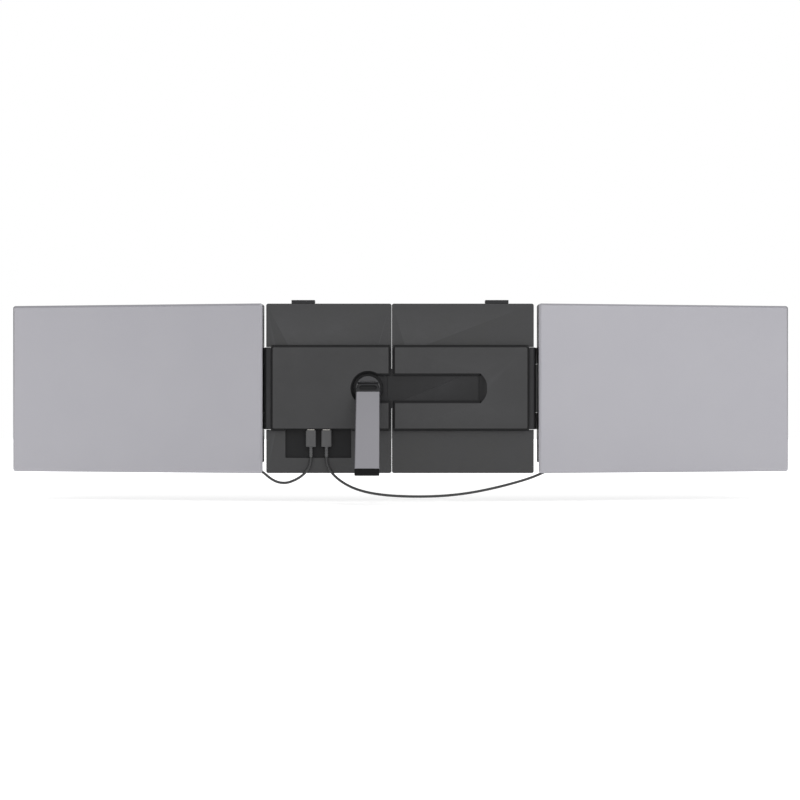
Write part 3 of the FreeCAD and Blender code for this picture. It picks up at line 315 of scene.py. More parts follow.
def settle_normals(mesh: bpy.types.Mesh, broad: float = 4.0) -> None:
    """Keeps wide faces perfectly flat and lets the narrow faces round them flow into them.

    A face is wide where its area over half its outline is more than the given width. Its
    corners take its own normal. A narrow face's corner takes the normal of the largest wide
    face that it touches, where the two faces turn less than 50 degrees from each other, and
    otherwise its smooth normal.

    Args:
        mesh: the mesh to shade.
        broad: the least width of a wide face in millimetres.
    """
    mesh.polygons.foreach_set("use_smooth", np.ones(len(mesh.polygons), bool))
    mesh.set_sharp_from_angle(angle=math.radians(50))
    faces, corners = len(mesh.polygons), len(mesh.loops)
    normal, area = np.empty(faces * 3, np.float32), np.empty(faces, np.float32)
    totals, vertex = np.empty(faces, np.int32), np.empty(corners, np.int32)
    edge, ends = np.empty(corners, np.int32), np.empty(len(mesh.edges) * 2, np.int32)
    points, smooth = np.empty(len(mesh.vertices) * 3, np.float32), np.empty(corners * 3, np.float32)
    mesh.polygons.foreach_get("normal", normal)
    mesh.polygons.foreach_get("area", area)
    mesh.polygons.foreach_get("loop_total", totals)
    mesh.loops.foreach_get("vertex_index", vertex)
    mesh.loops.foreach_get("edge_index", edge)
    mesh.edges.foreach_get("vertices", ends)
    mesh.vertices.foreach_get("co", points)
    mesh.corner_normals.foreach_get("vector", smooth)
    normal, points, ends, smooth = (a.reshape(-1, n) for a, n in ((normal, 3), (points, 3), (ends, 2), (smooth, 3)))
    owner = np.repeat(np.arange(faces), totals)
    length = np.linalg.norm(points[ends[:, 0]] - points[ends[:, 1]], axis=1)
    outline = np.bincount(owner, length[edge], faces)
    wide = area > broad * MM * outline / 2
    order = np.flatnonzero(wide[owner])
    order = order[np.argsort(area[owner[order]], kind="stable")]
    flat = np.zeros((len(points), 3), np.float32)
    flat[vertex[order]] = normal[owner[order]]
    near = (normal[owner] * flat[vertex]).sum(1) > math.cos(math.radians(50))
    chosen = np.where(near[:, None], flat[vertex], smooth)
    chosen = np.where(wide[owner][:, None], normal[owner], chosen)
    mesh.normals_split_custom_set(chosen.tolist())


def bake(piece: bpy.types.Object) -> bpy.types.Object:
    """Turns a piece's modifiers into its mesh and marks its edges.

    Args:
        piece: the object to finish.

    Returns:
        The same object with a plain mesh.
    """
    graph = bpy.context.evaluated_depsgraph_get()
    mesh = bpy.data.meshes.new_from_object(piece.evaluated_get(graph))
    piece.modifiers.clear()
    piece.data = mesh
    mark_edges(mesh)
    return piece


def ease(piece: bpy.types.Object, width: float, segments: int = 2, angle: float = 32) -> bpy.types.Object:
    """Rounds a piece's hard edges a little, as a mould or a tumbler leaves them.

    Args:
        piece: the object to round.
        width: size of the round in millimetres.
        segments: faces across the round.
        angle: edges that turn more than this many degrees are rounded.

    Returns:
        The same object, finished.
    """
    bevel = piece.modifiers.new("eased edges", "BEVEL")
    bevel.width = width * MM
    bevel.segments = segments
    bevel.limit_method = "ANGLE"
    bevel.angle_limit = math.radians(angle)
    bevel.use_clamp_overlap = False
    bevel.miter_outer = "MITER_ARC"
    bake(piece)
    settle_normals(piece.data)
    return piece


# Finishes


def linear(colour: str) -> tuple[float, float, float, float]:
    """Turns an sRGB hex colour into the linear values that a shader takes.

    Args:
        colour: six hex digits after a #.

    Returns:
        Red, green, blue and an alpha of 1.
    """
    parts = [int(colour[i : i + 2], 16) / 255 for i in (1, 3, 5)]
    red, green, blue = (p / 12.92 if p <= 0.04045 else ((p + 0.055) / 1.055) ** 2.4 for p in parts)
    return red, green, blue, 1.0


def wire(tree: bpy.types.NodeTree, kind: str, inputs: dict[Any, Any] | None = None, **settings: Any) -> bpy.types.Node:
    """Adds a node, gives it its settings and feeds its inputs.

    Args:
        tree: the node tree.
        kind: the node's type name.
        inputs: for each input its value, or the output socket that is linked to it.
        settings: the node's own settings.

    Returns:
        The new node.
    """
    node = tree.nodes.new(kind)
    for key, value in settings.items():
        setattr(node, key, value)
    for key, value in (inputs or {}).items():
        if isinstance(value, bpy.types.NodeSocket):
            tree.links.new(value, node.inputs[key])
        else:
            node.inputs[key].default_value = value
    return node


def blank(name: str) -> tuple[bpy.types.Material, bpy.types.NodeTree, bpy.types.Node, bpy.types.NodeSocket]:
    """Starts a material with its shader, its output and Object coordinates in metres.

    Args:
        name: the finish's name.

    Returns:
        The material, its tree, the shader node and the coordinate socket.
    """
    material = bpy.data.materials.new(name)
    material.use_nodes = True
    tree = material.node_tree
    tree.nodes.clear()
    shader = wire(tree, "ShaderNodeBsdfPrincipled")
    wire(tree, "ShaderNodeOutputMaterial", {"Surface": shader.outputs[0]})
    where = wire(tree, "ShaderNodeTexCoord").outputs["Object"]
    return material, tree, shader, where


@dataclass(frozen=True)
class BlastedAluminium:
    """Aluminium sheet, bead-blasted and anodised: a fine even sparkle, soft broad reflections
    and no grain direction. The beads are about 0.1 mm and are drawn at the size given, so
    that they show."""

    name: str = "bead-blasted anodised aluminium"
    colour: str = "#AEADB2"
    cloud: str = "#A9A8AE"
    edge: str = "#C6C5CA"
    roughness: float = 0.44
    bead: float = 0.55
    depth: float = 0.012

    def material(self) -> bpy.types.Material:
        """Returns the material."""
        material, tree, shader, where = blank(self.name)
        sweep = wire(tree, "ShaderNodeTexNoise", {"Vector": where, "Scale": 1 / (90 * MM), "Detail": 2.0})
        beads = wire(tree, "ShaderNodeTexNoise", {"Vector": where, "Scale": 1 / (self.bead * MM), "Detail": 3.0, "Roughness": 0.6})
        tone = wire(tree, "ShaderNodeMix", {0: sweep.outputs[0], 6: linear(self.colour), 7: linear(self.cloud)}, data_type="RGBA")
        turn = wire(tree, "ShaderNodeAttribute", attribute_name="edge")
        rub = wire(tree, "ShaderNodeMapRange", {"Value": turn.outputs["Fac"], "From Min": 0.3, "From Max": 0.9, "To Max": 0.6})
        worn = wire(tree, "ShaderNodeMix", {0: rub.outputs[0], 6: tone.outputs[2], 7: linear(self.edge)}, data_type="RGBA")
        rough = wire(
            tree,
            "ShaderNodeMapRange",
            {"Value": beads.outputs[0], "From Min": 0.3, "From Max": 0.7, "To Min": self.roughness - 0.04, "To Max": self.roughness + 0.05},
        )
        bump = wire(tree, "ShaderNodeBump", {"Height": beads.outputs[0], "Distance": self.depth * MM, "Strength": 1.0})
        tree.links.new(worn.outputs[2], shader.inputs["Base Color"])
        tree.links.new(rough.outputs[0], shader.inputs["Roughness"])
        tree.links.new(bump.outputs[0], shader.inputs["Normal"])
        shader.inputs["Metallic"].default_value = 1.0
        return material


@dataclass(frozen=True)
class MouldedPlastic:
    """Injection-moulded ABS or its like: a spark-eroded grain from the tool, faint clouds where
    the melt met, and edges that handling has polished a shade lighter."""

    name: str
    colour: str
    cloud: str
    edge: str
    roughness: float = 0.5
    grain: float = 0.7
    depth: float = 0.02
    specular: float = 0.5
    coat: float = 0.0

    def material(self) -> bpy.types.Material:
        """Returns the material."""
        material, tree, shader, where = blank(self.name)
        cloud = wire(tree, "ShaderNodeTexNoise", {"Vector": where, "Scale": 1 / (38 * MM), "Detail": 3.0, "Roughness": 0.55})
        grain = wire(tree, "ShaderNodeTexVoronoi", {"Vector": where, "Scale": 1 / (self.grain * MM), "Randomness": 1.0})
        speck = wire(tree, "ShaderNodeTexNoise", {"Vector": where, "Scale": 1 / (self.grain * 0.45 * MM), "Detail": 2.0})
        height = wire(tree, "ShaderNodeMath", {0: grain.outputs["Distance"], 1: speck.outputs[0]}, operation="ADD")
        spread = wire(tree, "ShaderNodeMapRange", {"Value": cloud.outputs[0], "From Min": 0.32, "From Max": 0.68})
        tone = wire(tree, "ShaderNodeMix", {0: spread.outputs[0], 6: linear(self.colour), 7: linear(self.cloud)}, data_type="RGBA")
        turn = wire(tree, "ShaderNodeAttribute", attribute_name="edge")
        rub = wire(tree, "ShaderNodeMapRange", {"Value": turn.outputs["Fac"], "From Min": 0.3, "From Max": 0.95, "To Max": 0.75})
        patch = wire(tree, "ShaderNodeMath", {0: rub.outputs[0], 1: cloud.outputs[0]}, operation="MULTIPLY")
        worn = wire(tree, "ShaderNodeMix", {0: patch.outputs[0], 6: tone.outputs[2], 7: linear(self.edge)}, data_type="RGBA")
        rough = wire(
            tree,
            "ShaderNodeMapRange",
            {"Value": speck.outputs[0], "From Min": 0.3, "From Max": 0.7, "To Min": self.roughness - 0.05, "To Max": self.roughness + 0.06},
        )
        bump = wire(tree, "ShaderNodeBump", {"Height": height.outputs[0], "Distance": self.depth * MM, "Strength": 1.0})
        tree.links.new(worn.outputs[2], shader.inputs["Base Color"])
        tree.links.new(rough.outputs[0], shader.inputs["Roughness"])
        tree.links.new(bump.outputs[0], shader.inputs["Normal"])
        shader.inputs["IOR"].default_value = 1.54
        shader.inputs["Specular IOR Level"].default_value = self.specular
        shader.inputs["Coat Weight"].default_value = self.coat
        shader.inputs["Coat Roughness"].default_value = 0.28
        return material


@dataclass(frozen=True)
class DimpledRubber:
    """Moulded silicone rubber: dull, with rows of small dimples that grip."""

    name: str
    colour: str = "#1C1C1F"
    dust: str = "#242427"
    dimple: float = 1.6
    depth: float = 0.08
    roughness: float = 0.78

    def material(self) -> bpy.types.Material:
        """Returns the material."""
        material, tree, shader, where = blank(self.name)
        row = wire(tree, "ShaderNodeTexVoronoi", {"Vector": where, "Scale": 1 / (self.dimple * MM), "Randomness": 0.0})
        pit = wire(tree, "ShaderNodeMapRange", {"Value": row.outputs["Distance"], "From Min": 0.15, "From Max": 0.42}, interpolation_type="SMOOTHSTEP")
        dust = wire(tree, "ShaderNodeTexNoise", {"Vector": where, "Scale": 1 / (14 * MM), "Detail": 4.0})
        tone = wire(
            tree, "ShaderNodeMix", {0: dust.outputs[0], 6: linear(self.colour), 7: linear(self.dust)}, data_type="RGBA"
        )
        bump = wire(tree, "ShaderNodeBump", {"Height": pit.outputs[0], "Distance": self.depth * MM, "Strength": 1.0})
        tree.links.new(tone.outputs[2], shader.inputs["Base Color"])
        tree.links.new(bump.outputs[0], shader.inputs["Normal"])
        shader.inputs["Roughness"].default_value = self.roughness
        shader.inputs["IOR"].default_value = 1.41
        shader.inputs["Specular IOR Level"].default_value = 0.3
        return material


@dataclass(frozen=True)
class MachinedSteel:
    """Bright steel with a thin plating: fine turned or rolled lines and a clean sharp gloss."""

    name: str
    colour: str = "#A9A8A6"
    roughness: float = 0.3
    line: float = 0.25
    stain: str = "#9A9896"

    def material(self) -> bpy.types.Material:
        """Returns the material."""
        material, tree, shader, where = blank(self.name)
        long = wire(tree, "ShaderNodeMapping", {"Vector": where, "Scale": (1.0, 1.0, 0.06)})
        lines = wire(tree, "ShaderNodeTexNoise", {"Vector": long.outputs[0], "Scale": 1 / (self.line * MM), "Detail": 2.0})
        stain = wire(tree, "ShaderNodeTexNoise", {"Vector": where, "Scale": 1 / (9 * MM), "Detail": 3.0})
        tone = wire(tree, "ShaderNodeMix", {0: stain.outputs[0], 6: linear(self.colour), 7: linear(self.stain)}, data_type="RGBA")
        rough = wire(
            tree,
            "ShaderNodeMapRange",
            {"Value": lines.outputs[0], "From Min": 0.3, "From Max": 0.7, "To Min": self.roughness - 0.07, "To Max": self.roughness + 0.1},
        )
        bump = wire(tree, "ShaderNodeBump", {"Height": lines.outputs[0], "Distance": 0.01 * MM, "Strength": 1.0})
        tree.links.new(tone.outputs[2], shader.inputs["Base Color"])
        tree.links.new(rough.outputs[0], shader.inputs["Roughness"])
        tree.links.new(bump.outputs[0], shader.inputs["Normal"])
        shader.inputs["Metallic"].default_value = 1.0
        return material


@dataclass(frozen=True)
class AntiglareGlass:
    """A switched-off panel behind etched glass: near black with a cool cast, a soft haze from
    the etching and a printed black border. The picture area is read from the piece's own UV
    map, whose unit is the whole pane."""

    name: str = "etched display glass"
    picture: str = "#15171C"
    border: str = "#0A0A0B"
    margin: tuple[float, float] = (0.018, 0.028)

    def material(self) -> bpy.types.Material:
        """Returns the material."""
        material, tree, shader, where = blank(self.name)
        pane = wire(tree, "ShaderNodeUVMap", uv_map="pane")
        split = wire(tree, "ShaderNodeSeparateXYZ", {0: pane.outputs[0]})
        masks = []
        for axis, margin in enumerate(self.margin):
            middle = wire(tree, "ShaderNodeMath", {0: split.outputs[axis], 1: 0.5}, operation="SUBTRACT")
            away = wire(tree, "ShaderNodeMath", {0: middle.outputs[0]}, operation="ABSOLUTE")
            masks.append(wire(tree, "ShaderNodeMath", {0: away.outputs[0], 1: 0.5 - margin}, operation="LESS_THAN"))
        inside = wire(tree, "ShaderNodeMath", {0: masks[0].outputs[0], 1: masks[1].outputs[0]}, operation="MULTIPLY")
        etch = wire(tree, "ShaderNodeTexNoise", {"Vector": where, "Scale": 1 / (0.4 * MM), "Detail": 2.0})
        smear = wire(tree, "ShaderNodeTexNoise", {"Vector": where, "Scale": 1 / (45 * MM), "Detail": 4.0, "Distortion": 0.6})
        tone = wire(tree, "ShaderNodeMix", {0: inside.outputs[0], 6: linear(self.border), 7: linear(self.picture)}, data_type="RGBA")
        rough = wire(
            tree, "ShaderNodeMapRange", {"Value": smear.outputs[0], "From Min": 0.3, "From Max": 0.7, "To Min": 0.2, "To Max": 0.3}
        )
        bump = wire(tree, "ShaderNodeBump", {"Height": etch.outputs[0], "Distance": 0.004 * MM, "Strength": 1.0})
        tree.links.new(tone.outputs[2], shader.inputs["Base Color"])
        tree.links.new(rough.outputs[0], shader.inputs["Roughness"])
        tree.links.new(bump.outputs[0], shader.inputs["Normal"])
        shader.inputs["IOR"].default_value = 1.52
        shader.inputs["Coat Weight"].default_value = 0.25
        shader.inputs["Coat Roughness"].default_value = 0.12
        return material


@dataclass(frozen=True)
class CircuitBoard:
    """Fibreglass board under green solder mask: copper tracks show as slightly lighter lines,
    and tinned pads as small bright dots."""

    name: str = "solder-masked circuit board"
    mask: str = "#12402B"
    track: str = "#1E5A3C"
    pad: str = "#B9B4A2"
    pitch: float = 2.4

    def material(self) -> bpy.types.Material:
        """Returns the material."""
        material, tree, shader, where = blank(self.name)
        tracks = wire(tree, "ShaderNodeTexVoronoi", {"Vector": where, "Scale": 1 / (self.pitch * MM), "Randomness": 0.7}, distance="MANHATTAN", feature="DISTANCE_TO_EDGE")
        pads = wire(tree, "ShaderNodeTexVoronoi", {"Vector": where, "Scale": 1 / (3.1 * MM), "Randomness": 0.35})
        line = wire(tree, "ShaderNodeMath", {0: tracks.outputs["Distance"], 1: 0.12}, operation="LESS_THAN")
        dot = wire(tree, "ShaderNodeMath", {0: pads.outputs["Distance"], 1: 0.16}, operation="LESS_THAN")
        green = wire(tree, "ShaderNodeMix", {0: line.outputs[0], 6: linear(self.mask), 7: linear(self.track)}, data_type="RGBA")
        tone = wire(tree, "ShaderNodeMix", {0: dot.outputs[0], 6: green.outputs[2], 7: linear(self.pad)}, data_type="RGBA")
        bump = wire(tree, "ShaderNodeBump", {"Height": line.outputs[0], "Distance": 0.03 * MM, "Strength": 1.0})
        tree.links.new(tone.outputs[2], shader.inputs["Base Color"])
        tree.links.new(bump.outputs[0], shader.inputs["Normal"])
        shader.inputs["Roughness"].default_value = 0.35
        shader.inputs["IOR"].default_value = 1.55
        return material


@dataclass(frozen=True)
class DiffuserFilm:
    """White polyester film over a light guide: matt, milky, with a fine net of printed dots."""

    name: str = "diffuser film"
    colour: str = "#D9DADA"
    dot: str = "#EFEFEE"

    def material(self) -> bpy.types.Material:
        """Returns the material."""
        material, tree, shader, where = blank(self.name)
        net = wire(tree, "ShaderNodeTexVoronoi", {"Vector": where, "Scale": 1 / (1.2 * MM), "Randomness": 0.0})
        tone = wire(tree, "ShaderNodeMix", {0: net.outputs["Distance"], 6: linear(self.dot), 7: linear(self.colour)}, data_type="RGBA")
        bump = wire(tree, "ShaderNodeBump", {"Height": net.outputs["Distance"], "Distance": 0.01 * MM, "Strength": 1.0})
        tree.links.new(tone.outputs[2], shader.inputs["Base Color"])
        tree.links.new(bump.outputs[0], shader.inputs["Normal"])
        shader.inputs["Roughness"].default_value = 0.6
        shader.inputs["IOR"].default_value = 1.58
        return material


class Finishes:
    """All finishes by the name of the slot that they fill."""

    def __init__(self) -> None:
        """Makes the materials."""
        makers: dict[str, Any] = {
            "silver_metal": BlastedAluminium(),
            "frame_plastic": MouldedPlastic("fine-grained black ABS", "#1F1F21", "#242426", "#363639", 0.46, 0.6, 0.014, 0.3),
            "plate_plastic": MouldedPlastic("grained charcoal ABS", "#404040", "#3C3C3D", "#5C5C5E", 0.56, 0.8, 0.022, 0.3),
            "cover_plastic": MouldedPlastic("smooth charcoal ABS", "#414142", "#3D3D3E", "#5A5A5C", 0.5, 0.6, 0.014, 0.3),
            "tray_plastic": MouldedPlastic("slide-grade acetal", "#1F1F20", "#1C1C1D", "#3C3C3E", 0.46, 0.5, 0.01, 0.25),
            "rubber": DimpledRubber("dimpled silicone rubber"),
            "steel": MachinedSteel("plated steel"),
            "display_glass": AntiglareGlass(),
            "backlight": DiffuserFilm(),
            "circuit_board": CircuitBoard(),
            "port_metal": MachinedSteel("nickel-plated shell", "#B9B6B0", 0.22, 0.4, "#ACA9A3"),
            "plug_plastic": MouldedPlastic("soft-touch plug moulding", "#535354", "#4E4E4F", "#747476", 0.52, 0.5, 0.012),
            "cable_sheath": MouldedPlastic("extruded cable sheath", "#1D1D1E", "#242425", "#3A3A3C", 0.34, 1.1, 0.01, coat=0.25),
            "vent_plastic": MouldedPlastic("black louvre moulding", "#38383A", "#323234", "#57575A", 0.5, 0.5, 0.012),
        }
        self.by_slot: dict[str, bpy.types.Material] = {slot: maker.material() for slot, maker in makers.items()}
        # Painted shade: a near-black finish for the covers' slanted rims and the stand's sunk channel and pocket.
        self.rim = MouldedPlastic("shaded cover rim", "#1D1D1E", "#1A1A1B", "#3A3A3C", 0.5, 0.6, 0.012, 0.2).material()
        # A black finish: the port bay's lining, which is partly painted shade, painted shade in the root's slot, the
        # strips of painted shadow along the covers, and the hub's grip bars.
        self.dark = MouldedPlastic("black recess lining", "#1C1C1D", "#19191A", "#2A2A2C", 0.55, 0.6, 0.012, 0.2).material()
        self.hub = MouldedPlastic("satin hub moulding", "#464648", "#424244", "#626265", 0.48, 0.5, 0.012, 0.35).material()
        self.black_steel = MachinedSteel("blackened hinge steel", "#2A2A2B", 0.4, 0.25, "#303031").material()
        # Painted shade: the leg's aluminium is made darker than the lid's to hold back the light from above that the
        # tilted leg faces.
        self.leg = BlastedAluminium("bead-blasted stand aluminium", "#96959A", "#929196", "#B4B3B8").material()
        self.foot = DimpledRubber("black foot rubber", "#0A0A0B", "#101011", 1.2, 0.05).material()

    def dress(self, piece: bpy.types.Object, finish: bpy.types.Material) -> bpy.types.Object:
        """Gives a piece a finish as its only material.

        Args:
            piece: the object.
            finish: its material.

        Returns:
            The same object.
        """
        piece.data.materials.clear()
        piece.data.materials.append(finish)
        return piece

    def tint(self, piece: bpy.types.Object, finish: bpy.types.Material, chosen: FaceTest) -> None:
        """Gives some of a piece's faces a second, darker finish, which paints shade on slanted rims and in recesses and
        slots.

        Args:
            piece: the object.
            finish: the second material.
            chosen: takes the faces' middles in millimetres and their normals, and says which.
        """
        mesh = piece.data
        middles = np.empty(len(mesh.polygons) * 3, np.float32)
        normals = np.empty(len(mesh.polygons) * 3, np.float32)
        mesh.polygons.foreach_get("center", middles)
        mesh.polygons.foreach_get("normal", normals)
        number = np.zeros(len(mesh.polygons), np.int32)
        mesh.polygons.foreach_get("material_index", number)
        number[chosen(middles.reshape(-1, 3) / MM, normals.reshape(-1, 3))] = len(mesh.materials)
        mesh.materials.append(finish)
        mesh.polygons.foreach_set("material_index", number)
        mesh.update()


# The assembly bench


class Bench:
    """Puts dressed pieces on the bodies that carry them."""

    def __init__(self, finishes: Finishes) -> None:
        """Reads each solid's body and slot from the frame.

        Args:
            finishes: the materials.
        """
        self.finishes = finishes
        self.nodes: dict[str, bpy.types.Object] = frame["nodes"]
        self.slots = {n: o.material_slots[0].material.name for n, o in self.nodes.items()}
        self.carried = set(self.nodes)

    def mount(
        self,
        piece: bpy.types.Object,
        body: str,
        slot: str,
        *stands_for: str,
        finish: bpy.types.Material | None = None,
    ) -> bpy.types.Object:
        """Dresses a piece, puts it on its body and hides the solids that it stands for.

        Args:
            piece: the finished object.
            body: the body that carries it.
            slot: the finish's slot name.
            stands_for: solids that the piece replaces.
            finish: a material of its own, where it isn't the slot's.

        Returns:
            The same object.
        """
        if "edge" not in piece.data.attributes:
            mark_edges(piece.data)
        self.finishes.dress(piece, finish or self.finishes.by_slot[slot])
        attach(piece, body)
        if stands_for:
            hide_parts(*stands_for)
            self.carried -= set(stands_for)
        LOG.info("%s: %d faces on %s", piece.name, len(piece.data.polygons), body)
        return piece

    def body(self, node: str) -> str:
        """The body that a solid rides on."""
        return self.nodes[node]["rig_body"]

    def eased(
        self,
        node: str,
        width: float = 0.3,
        segments: int = 2,
        angle: float = 32,
        finish: bpy.types.Material | None = None,
    ) -> bpy.types.Object:
        """Replaces a solid by a copy of it whose hard edges are eased.

        Args:
            node: the solid's name.
            width: size of the round in millimetres.
            segments: faces across the round.
            angle: edges that turn more than this many degrees are rounded.
            finish: a material of its own, where it isn't the slot's.

        Returns:
            The new piece.
        """
        mesh = self.nodes[node].data.copy()
        mesh.name = node + "_eased"
        work = bmesh.new()
        work.from_mesh(mesh)
        bmesh.ops.remove_doubles(work, verts=work.verts, dist=2e-6)
        longest = {f: max(f.edges, key=lambda e: e.calc_length()) for f in work.faces}
        slivers = {e for f, e in longest.items() if f.calc_area() < 0.05 * MM * e.calc_length()}
        bmesh.ops.dissolve_edges(work, edges=list(slivers), use_verts=False)
        bmesh.ops.dissolve_limit(work, angle_limit=math.radians(0.4), verts=work.verts, edges=work.edges)
        for face in work.faces:
            face.smooth = True
        work.to_mesh(mesh)
        work.free()
        piece = bpy.data.objects.new(node + "_eased", mesh)
        bpy.context.scene.collection.objects.link(piece)
        ease(piece, width, segments, angle)
        return self.mount(piece, self.body(node), self.slots[node], node, finish=finish)

    def dress_the_rest(self) -> None:
        """Gives every solid that is still shown its finish."""
        for node in sorted(self.carried):
            for place in self.nodes[node].material_slots:
                place.material = self.finishes.by_slot[self.slots[node]]


# Camera, light and floor


@dataclass
class Studio:
    """A horizontal camera at the bracket's height, a large soft key light from the upper right,
    a weak fill from the left and a white background over a pale floor."""

    camera_away: float = 2487.0
    camera_height: float = -14.2
    lens: float = 91.5
    floor_level: float = -139.0
    floor_half: float = 4000.0

    def camera(self) -> None:
        """Places the camera that looks along +Y, level, at the middle of the bracket."""
        data = bpy.data.cameras.new("camera")
        data.lens = self.lens
        data.sensor_width = 36
        camera = bpy.data.objects.new("camera", data)
        camera.location = (0, -self.camera_away * MM, self.camera_height * MM)
        camera.rotation_euler = (math.pi / 2, 0, 0)
        bpy.context.scene.collection.objects.link(camera)
        bpy.context.scene.camera = camera

    def lamp(self, name: str, place: tuple[float, float, float], size: float, power: float) -> None:
        """Hangs a square soft light that faces the bracket.

        Args:
            name: the lamp's name.
            place: where it hangs, in metres.
            size: its side in metres.
            power: its power in watts.
        """
        data = bpy.data.lights.new(name, "AREA")
        data.size = size
        data.energy = power
        lamp = bpy.data.objects.new(name, data)
        lamp.location = place
        lamp.rotation_euler = (-Vector(place)).to_track_quat("-Z", "Y").to_euler()
        bpy.context.scene.collection.objects.link(lamp)

    def world(self) -> None:
        """Lights the room and shows the camera a white background.

        The room's level is a ramp on how far a direction points at the camera's side, plus a
        ramp on how far it points up, times a ramp that darkens what points down. Camera rays
        see white, and so do mirrored and refracted rays that leave for the backdrop.
        """
        world = bpy.data.worlds.new("studio")
        bpy.context.scene.world = world
        world.use_nodes = True
        tree = world.node_tree
        tree.nodes.clear()
        ray = wire(tree, "ShaderNodeLightPath")
        way = wire(tree, "ShaderNodeSeparateXYZ", {0: wire(tree, "ShaderNodeTexCoord").outputs["Generated"]})
        front = wire(tree, "ShaderNodeMapRange", {"Value": way.outputs[1], "From Min": 0.45, "From Max": -0.6, "To Min": 0.06, "To Max": 0.6})
        top = wire(tree, "ShaderNodeMapRange", {"Value": way.outputs[2], "From Min": 0.0, "From Max": 0.9, "To Min": 0.0, "To Max": 0.62})
        low = wire(tree, "ShaderNodeMapRange", {"Value": way.outputs[2], "From Min": -0.8, "From Max": 0.1, "To Min": 0.35, "To Max": 1.0})
        side = wire(tree, "ShaderNodeMapRange", {"Value": way.outputs[0], "From Min": -0.9, "From Max": 0.9, "To Min": 0.82, "To Max": 1.12})
        lit = wire(tree, "ShaderNodeMath", {0: front.outputs[0], 1: top.outputs[0]}, operation="ADD")
        lowered = wire(tree, "ShaderNodeMath", {0: lit.outputs[0], 1: low.outputs[0]}, operation="MULTIPLY")
        level = wire(tree, "ShaderNodeMath", {0: lowered.outputs[0], 1: side.outputs[0]}, operation="MULTIPLY")
        behind = wire(tree, "ShaderNodeMapRange", {"Value": way.outputs[1], "From Min": 0.55, "From Max": 0.8})
        mirror = wire(tree, "ShaderNodeMath", {0: ray.outputs["Is Glossy Ray"], 1: ray.outputs["Is Transmission Ray"]}, operation="MAXIMUM")
        seen = wire(tree, "ShaderNodeMath", {0: mirror.outputs[0], 1: behind.outputs[0]}, operation="MULTIPLY")
        white = wire(tree, "ShaderNodeMath", {0: ray.outputs["Is Camera Ray"], 1: seen.outputs[0]}, operation="MAXIMUM")
        room = wire(tree, "ShaderNodeBackground", {"Color": (1, 1, 1, 1), "Strength": level.outputs[0]})
        back = wire(tree, "ShaderNodeBackground", {"Color": (1, 1, 1, 1), "Strength": 1.0})
        mix = wire(tree, "ShaderNodeMixShader", {0: white.outputs[0], 1: room.outputs[0], 2: back.outputs[0]})
        wire(tree, "ShaderNodeOutputWorld", {"Surface": mix.outputs[0]})

    def floor(self) -> None:
        """Lays a pale floor under the cords; it keeps the shadow and shows the camera white where lit."""
        half, level = self.floor_half, self.floor_level
        corners = np.array([(-half, -half, level), (half, -half, level), (half, half, level), (-half, half, level)])
        plane = shape_from("floor", corners, [(0, 1, 2, 3)], smooth=False)
        plane.data.flip_normals()
        material, tree, shader, where = blank("matt studio floor")
        ray = wire(tree, "ShaderNodeLightPath")
        mirror = wire(tree, "ShaderNodeMath", {0: ray.outputs["Is Glossy Ray"], 1: ray.outputs["Is Transmission Ray"]}, operation="MAXIMUM")
        seen = wire(tree, "ShaderNodeMath", {0: ray.outputs["Is Camera Ray"], 1: mirror.outputs[0]}, operation="MAXIMUM")
        away = wire(tree, "ShaderNodeVectorMath", {0: where}, operation="LENGTH")
        share = wire(tree, "ShaderNodeMapRange", {"Value": away.outputs["Value"], "From Min": 0.45, "From Max": 1.3, "To Min": 0.5, "To Max": 0.95})
        glow = wire(tree, "ShaderNodeMath", {0: seen.outputs[0], 1: share.outputs[0]}, operation="MULTIPLY")
        tree.links.new(glow.outputs[0], shader.inputs["Emission Strength"])
        shader.inputs["Base Color"].default_value = linear("#F2F2F2")
        shader.inputs["Emission Color"].default_value = (1, 1, 1, 1)
        shader.inputs["Roughness"].default_value = 1.0
        shader.inputs["Specular IOR Level"].default_value = 0.0
        plane.data.materials.append(material)

    def build(self) -> None:
        """Sets up camera, lamps, world and floor."""
        bpy.context.scene.view_settings.view_transform = "Standard"
        self.camera()
        self.lamp("key", (1.3, -2.2, 1.5), 1.3, 9)
        self.lamp("fill", (-2.2, -1.8, 0.5), 1.5, 3)
        self.lamp("side strip", (2.3, -1.0, 0.2), 0.7, 0.9)
        self.world()
        self.floor()
        LOG.info("studio: camera %.0f mm away", self.camera_away)


# Cords


